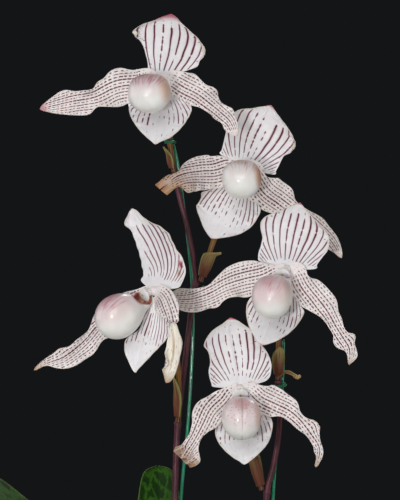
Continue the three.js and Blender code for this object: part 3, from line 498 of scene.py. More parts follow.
LEAF_WIDTH = [(0, 5), (0.15, 8), (0.45, 18), (0.75, 19.5), (0.92, 14), (1, 5)]
LEAF_CUP = [(0, 0.7), (0.3, 0.5), (0.7, 0.2), (1, 0.15)]
LEAF_FOOT = 90.8
LEAVES = {
    "leaf_left_tall": dict(
        midrib=[(-21.5, 13.4, LEAF_FOOT), (-24, 17, 115), (-28, 24, 150), (-31.5, 28, 200), (-33, 30, 246)],
        width=[(0, 4.6), (0.2, 9), (0.55, 16), (0.8, 14.5), (0.93, 11.5), (0.98, 9), (1, 7.5)],
        face=(0.15, -1, 0.1),
        tip=0.03),
    "leaf_left_long": dict(
        midrib=[(-25.8, 6, LEAF_FOOT), (-29, 5, 112), (-48, 0, 148), (-80, -5, 188), (-111, -8, 219),
                (-137, -10, 242), (-158, -12, 253)], face=(0.2, -0.25, 1)),
    "leaf_left_low": dict(
        midrib=[(-27.2, 1.4, LEAF_FOOT), (-31.5, -2, 110), (-49, -16, 135), (-75, -34, 150), (-102, -51, 148),
                (-125, -66, 134)]),
    "leaf_back_left": dict(
        midrib=[(-12.4, 6.8, LEAF_FOOT), (-9.5, 8.5, 108), (4, 14, 142), (22, 25, 172), (42, 38, 192),
                (60, 50, 198)]),
    "leaf_front_left": dict(
        midrib=[(-17, -0.6, LEAF_FOOT), (-16, -4.5, 110), (-12, -24, 136), (-14, -48, 148), (-20, -72, 147),
                (-27, -94, 134)]),
    "leaf_right_tall": dict(
        midrib=[(35, -2.5, LEAF_FOOT), (38.5, -2, 108), (48, 0, 140), (63, 4, 178), (81, 9, 205),
                (97, 14, 215)], face=(-0.2, 0, 1)),
    "leaf_right_low": dict(
        midrib=[(36.5, -9, LEAF_FOOT), (40, -12.5, 108), (57, -25, 133), (82, -40, 146), (108, -54, 145),
                (131, -66, 132)]),
    "leaf_front_right": dict(
        midrib=[(27.5, -10.5, LEAF_FOOT), (27.3, -13.5, 108), (28, -31, 135), (34, -54, 153), (42, -80, 156),
                (50, -104, 146)]),
    "leaf_back_right": dict(
        midrib=[(26, 2.6, LEAF_FOOT), (25.5, 5.6, 108), (24, 28, 140), (28, 56, 160), (34, 82, 164),
                (40, 106, 154)]),
}

# Leaf skin: waxy over long cells, so it shines only softly. The mottling is islands of dark
# green about 5 mm across on mid green, stretched along the leaf, with a paler margin.
leaf_face, tree = new_material("orchid_leaf_upper_waxy")
spread = add(tree, "Attribute", attribute_name="place", out=1)
side = add(tree, "SeparateXYZ", {0: spread}, out=2)
ISLAND_MM = 5.5
stretched = add(tree, "VectorMath", {0: spread, 1: (1 / ISLAND_MM, 0.55 / ISLAND_MM, 0.0)},
                operation="MULTIPLY")
wander = add(tree, "TexNoise", {"Vector": stretched, "Scale": 2.2, "Detail": 4, "Roughness": 0.65}, out=1)
bent = add(tree, "VectorMath", {0: wander, 1: (0.9, 0.9, 0)}, operation="MULTIPLY")
moved = add(tree, "VectorMath", {0: stretched, 1: bent}, operation="ADD")
cells = add(tree, "TexVoronoi", {"Vector": moved, "Scale": 1.0, "Randomness": 0.9},
            feature="DISTANCE_TO_EDGE")
island = add(tree, "MapRange", {0: cells, 1: 0.03, 2: 0.2, 3: 0.0, 4: 1.0}, interpolation_type="SMOOTHSTEP")
cloud = add(tree, "TexNoise", {"Vector": stretched, "Scale": 0.5, "Detail": 3})
mid_green = add(tree, "ValToRGB", {0: cloud}, stops=[(0.3, "#24490f"), (0.7, "#335c16")])
dark_green = add(tree, "ValToRGB", {0: cloud}, stops=[(0.3, "#0e2606"), (0.7, "#17380b")])
mottled = add(tree, "Mix", {0: island, 6: mid_green, 7: dark_green}, out=2, data_type="RGBA")
edge = add(tree, "MapRange", {0: side, 1: 0.93, 2: 1.0, 3: 0.0, 4: 0.6})
rimmed = add(tree, "Mix", {0: edge, 6: mottled, 7: "#56752a"}, out=2, data_type="RGBA")
rib = add(tree, "MapRange", {0: side, 1: 0.05, 2: 0.0, 3: 0.0, 4: 0.55})
ribbed = add(tree, "Mix", {0: rib, 6: rimmed, 7: "#142f0b"}, out=2, data_type="RGBA")
fine = add(tree, "VectorMath", {0: spread, 1: (3.2, 0.25, 0)}, operation="MULTIPLY")
streak = add(tree, "TexNoise", {"Vector": fine, "Scale": 1, "Detail": 2})
gloss = add(tree, "MapRange", {0: streak, 1: 0.3, 2: 0.7, 3: 0.48, 4: 0.6})
bump = add(tree, "Bump", {"Height": streak, "Strength": 0.3, "Distance": 0.0003})
skin = add(tree, "BsdfPrincipled", {"Base Color": ribbed, "Roughness": gloss, "Normal": bump, "IOR": 1.36,
                                    "Specular IOR Level": 0.16, "Subsurface Weight": 0.1,
                                    "Subsurface Scale": 0.002})
add(tree, "OutputMaterial", {0: skin})

# The underside has no wax shine; it is pale grey-green, dusted with purple near the foot.
leaf_back, tree = new_material("orchid_leaf_underside")
spread = add(tree, "Attribute", attribute_name="place", out=1)
run = add(tree, "SeparateXYZ", {0: spread}, out=1)
fine = add(tree, "VectorMath", {0: spread, 1: (2.4, 0.2, 0)}, operation="MULTIPLY")
streak = add(tree, "TexNoise", {"Vector": fine, "Scale": 1, "Detail": 4})
pale = add(tree, "ValToRGB", {0: streak}, stops=[(0.3, "#557a38"), (0.7, "#6b8d4c")])
dots = add(tree, "TexNoise", {"Vector": spread, "Scale": 0.9, "Detail": 5})
near_foot = add(tree, "MapRange", {0: run, 1: 70, 2: 5, 3: 0.0, 4: 1.0})
purple = add(tree, "Math", {0: add(tree, "MapRange", {0: dots, 1: 0.45, 2: 0.6, 3: 0.0, 4: 0.8}),
                            1: near_foot},
             operation="MULTIPLY")
dusted = add(tree, "Mix", {0: purple, 6: pale, 7: "#5a3350"}, out=2, data_type="RGBA")
skin = add(tree, "BsdfPrincipled", {"Base Color": dusted, "Roughness": 0.55, "IOR": 1.42,
                                    "Subsurface Weight": 0.1, "Subsurface Scale": 0.002})
add(tree, "OutputMaterial", {0: skin})

for n, (name, spec) in enumerate(LEAVES.items()):
    shape = dict(width=LEAF_WIDTH, face=(0, 0, 1), cup=lambda t: run_of(LEAF_CUP, t), thickness=1.5,
                 thin=0.45,
                 keel=1.6, wave=0.5, waves=3, frill=0.25, frills=6, phase=0.7 * n, relief=0.05, lines=15,
                 tip=0.05, fork=1.2, rows=110, cols=36)
    shape.update(spec)
    front, back, S, T, length = blade(**shape)
    half = run_of(shape["width"], T)
    place = np.stack([S * half + 400 * n, T * length + 60 * n, np.abs(S)], 2).reshape(-1, 3)
    points, faces, kinds = closed_sheets(front, back)
    leaf = make_mesh(name + "_grown", points, faces, [leaf_face, leaf_back], kinds,
                     {"place": np.vstack([place, place])})
    settle(leaf, "leaf", name)


# Flower stems
# Two upright stalks, purple-brown and covered with short hairs, with a scarred node ring
# where each bract sits.
def rod(path, radii, stations, sides, ribs=0, rib_depth=0, swell=()):
    """Points and outward directions of a round rod of changing radius along a smooth path."""
    centre, along, length = walk(path, stations)
    frame_side = np.array([0.0, 1.0, 0.0])
    sides_at = []
    for direction in along:
        frame_side = unit(frame_side - np.dot(frame_side, direction) * direction)
        sides_at.append(frame_side)
    first = np.array(sides_at)
    second = np.cross(along, first)
    angle = np.linspace(0, 2 * np.pi, sides, endpoint=False)
    radius = run_of(radii, np.asarray(stations))[:, None] * np.ones(sides)[None, :]
    for place, size, spread in swell:
        radius = radius + size * np.exp(-(((np.asarray(stations) - place) * length / spread) ** 2))[:, None]
    radius = radius * (1 + rib_depth * np.cos(ribs * angle))[None, :]
    out = first[:, None] * np.cos(angle)[None, :, None] + second[:, None] * np.sin(angle)[None, :, None]
    return centre[:, None] + out * radius[..., None], out, centre, along, length


def capped(grid, centre, along, bulge):
    """Faces that close a rod, with a shallow dome at both ends."""
    rows, sides = grid.shape[:2]
    ends = [centre[0] - along[0] * bulge, centre[-1] + along[-1] * bulge]
    points = np.vstack([grid.reshape(-1, 3), ends])
    faces = wrap(rows, sides)
    last = (rows - 1) * sides
    for k in range(sides):
        n = (k + 1) % sides
        faces.append([rows * sides, k, n])
        faces.append([rows * sides + 1, last + n, last + k])
    return points, faces


def spikes(bases, directions, thick):
    """One slim three-sided spike for each base point; direction gives its length too."""
    points, faces = [], []
    for base, direction in zip(bases, directions):
        up = unit(direction)
        one = unit(np.cross(up, (0.31, 0.77, 0.55)))
        two = np.cross(up, one)
        start = len(points)
        for a in (0, 2 * math.pi / 3, 4 * math.pi / 3):
            points.append(base + thick * (one * math.cos(a) + two * math.sin(a)))
        points.append(base + direction)
        faces += [[start, start + 1, start + 3], [start + 1, start + 2, start + 3],
                  [start + 2, start, start + 3], [start, start + 2, start + 1]]
    return points, faces


def with_hairs(points, faces, grid, out, count, length, thick):
    """Adds fine hairs to a rod's surface, each sunk a little into it."""
    rows, sides = grid.shape[:2]
    i = draw.integers(0, rows, count)
    j = draw.integers(0, sides, count)
    way = unit(out[i, j] + 0.35 * draw.standard_normal((count, 3)))
    bases = grid[i, j] - 0.1 * out[i, j]
    tall = length * (0.6 + 0.6 * draw.random(count))
    hair_points, hair_faces = spikes(bases, way * tall[:, None], thick)
    start = len(points)
    faces = list(faces) + [[v + start for v in f] for f in hair_faces]
    place = np.repeat(np.stack([i, j], 1), 4, axis=0)
    return np.vstack([points, hair_points]), faces, place


STEM_FOOT = 90.3
STEMS = {
    "flower_stem_left": dict(
        path=[(-20, 6, STEM_FOOT), (-20.5, 5, 140), (-21.5, 3.5, 190), (-22, 3, 229.6), (-20.3, 4, 275.2),
              (-14.8, 4, 322.8), (-12.4, 5, 342.6), (-9.7, 5, 360.1), (-10.6, 5, 372.8), (-15.4, 5, 396.9),
              (-19.7, 5, 413.2), (-22.4, 4, 426.4)],
        nodes=(150, 275.6, 359.5, 425)),
    "flower_stem_right": dict(
        path=[(29, -4, STEM_FOOT), (30, -4.5, 140), (31.5, -5.5, 190), (33, -6, 235.7), (36.5, -6, 250),
              (39.5, -6, 266.7), (40.7, -6, 284.6), (39.5, -6, 302.2)],
        nodes=(152, 236, 301)),
}
STEM_RUN = [(0, 2.1), (0.5, 1.9), (1, 1.5)]
STEM_STATIONS = 220
STEM_SIDES = 20
STEM_HAIRS = 1500
HAIR_RADIUS = 0.035

# Stem skin: living green under dark purple-brown, with pale flecks and a soft sheen.
stem_skin, tree = new_material("flower_stem_downy")
place = add(tree, "TexCoord", out=3)
long_way = add(tree, "VectorMath", {0: place, 1: (1100, 1100, 90)}, operation="MULTIPLY")
fibre = add(tree, "TexNoise", {"Vector": long_way, "Scale": 1, "Detail": 3})
patch = add(tree, "TexNoise", {"Vector": place, "Scale": 70, "Detail": 3})
base = add(tree, "ValToRGB", {0: patch}, stops=[(0.3, "#3a141f"), (0.7, "#5c2836")])
flecked = add(tree, "Mix", {0: add(tree, "MapRange", {0: fibre, 1: 0.55, 2: 0.75, 3: 0.0, 4: 0.45}), 6: base,
                            7: "#8a5a62"}, out=2, data_type="RGBA")
bump = add(tree, "Bump", {"Height": fibre, "Strength": 0.4, "Distance": 0.0003})
skin = add(tree, "BsdfPrincipled", {"Base Color": flecked, "Roughness": 0.45, "Normal": bump, "IOR": 1.42})
add(tree, "OutputMaterial", {0: skin})

for name, spec in STEMS.items():
    stations = np.linspace(0, 1, STEM_STATIONS)
    centre, _, length = walk(spec["path"], stations)
    swell = []
    for height in spec["nodes"]:
        place = stations[np.argmin(np.abs(centre[:, 2] - height))]
        swell += [(place, 0.55, 1.1), (place - 2.2 / length, 0.25, 2.6)]
    grid, out, centre, along, length = rod(spec["path"], STEM_RUN, stations, STEM_SIDES, ribs=5,
                                           rib_depth=0.02, swell=swell)
    points, faces = capped(grid, centre, along, 0.4)
    points, faces, _ = with_hairs(points, faces, grid, out, STEM_HAIRS, 0.55, HAIR_RADIUS)
    settle(make_mesh(name + "_grown", points, faces, [stem_skin]), "stem", name)


# Stakes
# Straight florist's canes of steel wire in a glossy green coat, bent by hand to follow the
# stems and pushed into the mix. The coat is dipped, so it is smooth with faint drips.
STAKE_FOOT = 60.3
STAKES = {
    "stake_left": [(-20.4, 10.3, STAKE_FOOT), (-20.4, 10.3, 100), (-20.2, 10, 130), (-18.9, 9, 190),
                   (-18.5, 8.5, 228.8), (-14.3, 9, 274.1), (-11.8, 9.5, 314.6), (-11.2, 9.5, 337.6),
                   (-11.8, 9.5, 360), (-14.3, 9.5, 386.1), (-17.3, 9.5, 410.3), (-20.9, 8.5, 434.4),
                   (-24.5, 8, 449)],
    "stake_right": [(37, 14, STAKE_FOOT), (37, 14, 100), (36.8, 11, 130), (36.6, 3.5, 190),
                    (36.7, -1.5, 230.3),
                    (38.4, -1.5, 254.3), (41.2, -1.5, 284.2), (42.7, -2, 308.1), (43, -2, 326.1)],
}

# Vinyl dip coat: one smooth glossy skin over the steel, so it takes long sharp highlights.
coat, tree = new_material("green_vinyl_dipped_wire")
place = add(tree, "TexCoord", out=3)
drip = add(tree, "VectorMath", {0: place, 1: (300, 300, 60)}, operation="MULTIPLY")
flow = add(tree, "TexNoise", {"Vector": drip, "Scale": 1, "Detail": 3})
green = add(tree, "ValToRGB", {0: flow}, stops=[(0.3, "#086a4a"), (0.7, "#128a64")])
gloss = add(tree, "MapRange", {0: flow, 1: 0.3, 2: 0.7, 3: 0.2, 4: 0.3})
bump = add(tree, "Bump", {"Height": flow, "Strength": 0.15, "Distance": 0.0004})
skin = add(tree, "BsdfPrincipled", {"Base Color": green, "Roughness": gloss, "Normal": bump, "IOR": 1.52,
                                    "Coat Weight": 1.0, "Coat Roughness": 0.12})
add(tree, "OutputMaterial", {0: skin})
for name, path in STAKES.items():
    stations = np.linspace(0, 1, 160)
    ends = [(0, 0.5), (0.003, 0.95), (0.01, 1.0), (0.99, 1.0), (0.997, 0.95), (1, 0.5)]
    grid, out, centre, along, length = rod(path, ends, stations, 18)
    points, faces = capped(grid, centre, along, 0.25)
    settle(make_mesh(name + "_coated", points, faces, [coat]), "stake", name)


# Ties
# Lengths of soft green wire, wound twice round a stem and its stake and twisted shut
# with pliers, so two short ends stand out sideways.
TIE_GAP = 0.3
TIE_WIRE = 0.5
TIE_LAPS = 2
LAP_RISE = 1.24
TWIST_TURNS = 2.2
TAIL_LENGTH = 2.8
TAIL_RISE = 1.8

# Each tie: where the stem and the stake stand, with their radii, its height, and the side on
# which it is twisted shut, in radians.
TIES = {
    "tie_top": ((-25.3, 1.6, 1.9), (-23.6, 8.1, 1.0), 445, -2.2),
    "tie_middle": ((-10.1, 5, 1.9), (-11.6, 9.5, 1.0), 356, -0.3),
    "tie_right": ((39.9, -6, 1.9), (42.4, -1.8, 1.0), 299, -0.9),
}

# Extruded vinyl over soft wire: the same green as the stakes but rubbed, so it shines less.
tie_coat, tree = new_material("green_vinyl_tie_wire")
place = add(tree, "TexCoord", out=3)
flow = add(tree, "TexNoise", {"Vector": place, "Scale": 400, "Detail": 3})
green = add(tree, "ValToRGB", {0: flow}, stops=[(0.3, "#086040"), (0.7, "#108055")])
bump = add(tree, "Bump", {"Height": flow, "Strength": 0.2, "Distance": 0.0003})
skin = add(tree, "BsdfPrincipled", {"Base Color": green, "Roughness": 0.3, "Normal": bump, "IOR": 1.52})
add(tree, "OutputMaterial", {0: skin})
for name, (stem, stake, height, knot) in TIES.items():
    heading = math.atan2(stake[1] - stem[1], stake[0] - stem[0])
    loop = []
    for _ in range(TIE_LAPS):
        for (x, y, r), start in ((stem, heading + math.pi / 2), (stake, heading - math.pi / 2)):
            for k in range(13):
                a = start + math.pi * k / 12
                reach = r + TIE_GAP + TIE_WIRE
                climb = LAP_RISE * (len(loop) / 52 - 0.5)
                loop.append((x + reach * math.cos(a), y + reach * math.sin(a), height + climb))
    loop = np.array(loop)
    side = loop[np.argmin(np.abs((np.arctan2(loop[:, 1] - stem[1], loop[:, 0] - stem[0]) - knot + np.pi)
                                 % (2 * np.pi) - np.pi))]
    out_way = np.array([math.cos(knot), math.sin(knot), 0])
    up_way = np.array([0, 0, 1.0])
    cross_way = np.cross(out_way, up_way)
    parts = [loop]
    for strand in (0, math.pi):
        tail = []
        for k in range(40):
            u = k / 39
            a = strand + TWIST_TURNS * 2 * math.pi * u
            spin = (0.55 if u < 0.82 else 0.55 + 2.5 * (u - 0.82)) * np.array([math.cos(a), math.sin(a)])
            tail.append(side + out_way * (0.1 + TAIL_LENGTH * u) + up_way * (spin[0] + TAIL_RISE * u)
                        + cross_way * spin[1])
        parts.append(np.array(tail))
    all_points, all_faces = [], []
    for path in parts:
        stations = np.linspace(0, 1, 4 * len(path))
        grid, out, centre, along, length = rod(path, [(0, TIE_WIRE), (1, TIE_WIRE)], stations, 10)
        points, faces = capped(grid, centre, along, 0.3)
        start = sum(len(p) for p in all_points)
        all_points.append(points)
        all_faces += [[v + start for v in f] for f in faces]
    settle(make_mesh(name + "_twisted", np.vstack(all_points), all_faces, [tie_coat]), "tie", name)


# Moss
# Small cushions of moss that grew on the damp bark near the rim: crowded upright shoots, each
# with rings of short pointed leaves, fresh green at the end and brown at the foot.
# Moss leaves are one cell thick and damp: dull, a little see-through, and olive to fresh green.
moss_leaf, tree = new_material("cushion_moss_damp")
spread = add(tree, "Attribute", attribute_name="place", out=1)
share = add(tree, "SeparateXYZ", {0: spread}, out=0)
place = add(tree, "TexCoord", out=3)
cloud = add(tree, "TexNoise", {"Vector": place, "Scale": 240, "Detail": 3})
fresh = add(tree, "ValToRGB", {0: cloud}, stops=[(0.3, "#4f6d1c"), (0.7, "#7e9a35")])
aged = add(tree, "Mix", {0: share, 6: "#3a2f17", 7: fresh}, out=2, data_type="RGBA")
skin = add(tree, "BsdfPrincipled", {"Base Color": aged, "Roughness": 0.7, "IOR": 1.36,
                                    "Subsurface Weight": 0.15, "Subsurface Scale": 0.0008})
add(tree, "OutputMaterial", {0: skin})

MOSS_CUSHIONS = 16
MOSS_SHOOTS = 90
MOSS_LEAVES = 9
MOSS_FOOT = 97.6
all_points, all_faces, all_places = [], [], []
for k in range(MOSS_CUSHIONS):
    angle = k * GOLDEN_TURN + 0.4 * draw.random()
    reach = 37 + 14.5 * draw.random()
    girth = 2.6 + 3.2 * draw.random()
    middle = np.array([reach * math.cos(angle), reach * math.sin(angle), MOSS_FOOT])
    away = np.sqrt(draw.random(MOSS_SHOOTS)) * girth
    turn = 2 * np.pi * draw.random(MOSS_SHOOTS)
    flat = np.stack([away * np.cos(turn), away * np.sin(turn), 0 * away], 1)
    feet = middle + flat
    tall = (1.8 + 0.45 * girth) * np.sqrt(np.clip(1.1 - (away / girth) ** 2, 0,
                                                  1)) + 0.5 * draw.random(MOSS_SHOOTS)
    rise = np.array([0, 0, 1.0]) + 0.5 * flat / girth + 0.12 * draw.standard_normal((MOSS_SHOOTS, 3))
    shoots = unit(rise) * (tall + 0.6)[:, None]
    level = 0.35 + 0.65 * draw.random((MOSS_SHOOTS, MOSS_LEAVES))
    bases = feet[:, None] + shoots[:, None] * level[..., None]
    lean = unit(draw.standard_normal((MOSS_SHOOTS, MOSS_LEAVES, 3))) + 1.1 * unit(shoots)[:, None]
    leaves = lean * (0.55 + 0.3 * draw.random((MOSS_SHOOTS, MOSS_LEAVES)))[..., None]
    for starts, ways, thick, low, high in (
            (feet, shoots, 0.14, np.zeros(MOSS_SHOOTS), np.ones(MOSS_SHOOTS)),
            (bases.reshape(-1, 3), leaves.reshape(-1, 3), 0.16, level.reshape(-1), level.reshape(-1))):
        points, faces = spikes(starts, ways, thick)
        total = sum(len(p) for p in all_points)
        all_points.append(np.array(points))
        all_faces += [[v + total for v in f] for f in faces]
        shares = np.repeat(low, 4)
        shares[3::4] = high
        all_places.append(np.stack([shares, 0 * shares, 0 * shares], 1))
settle(make_mesh("moss_cushions", np.vstack(all_points), all_faces, [moss_leaf],
                 values={"place": np.vstack(all_places)}), "mix")


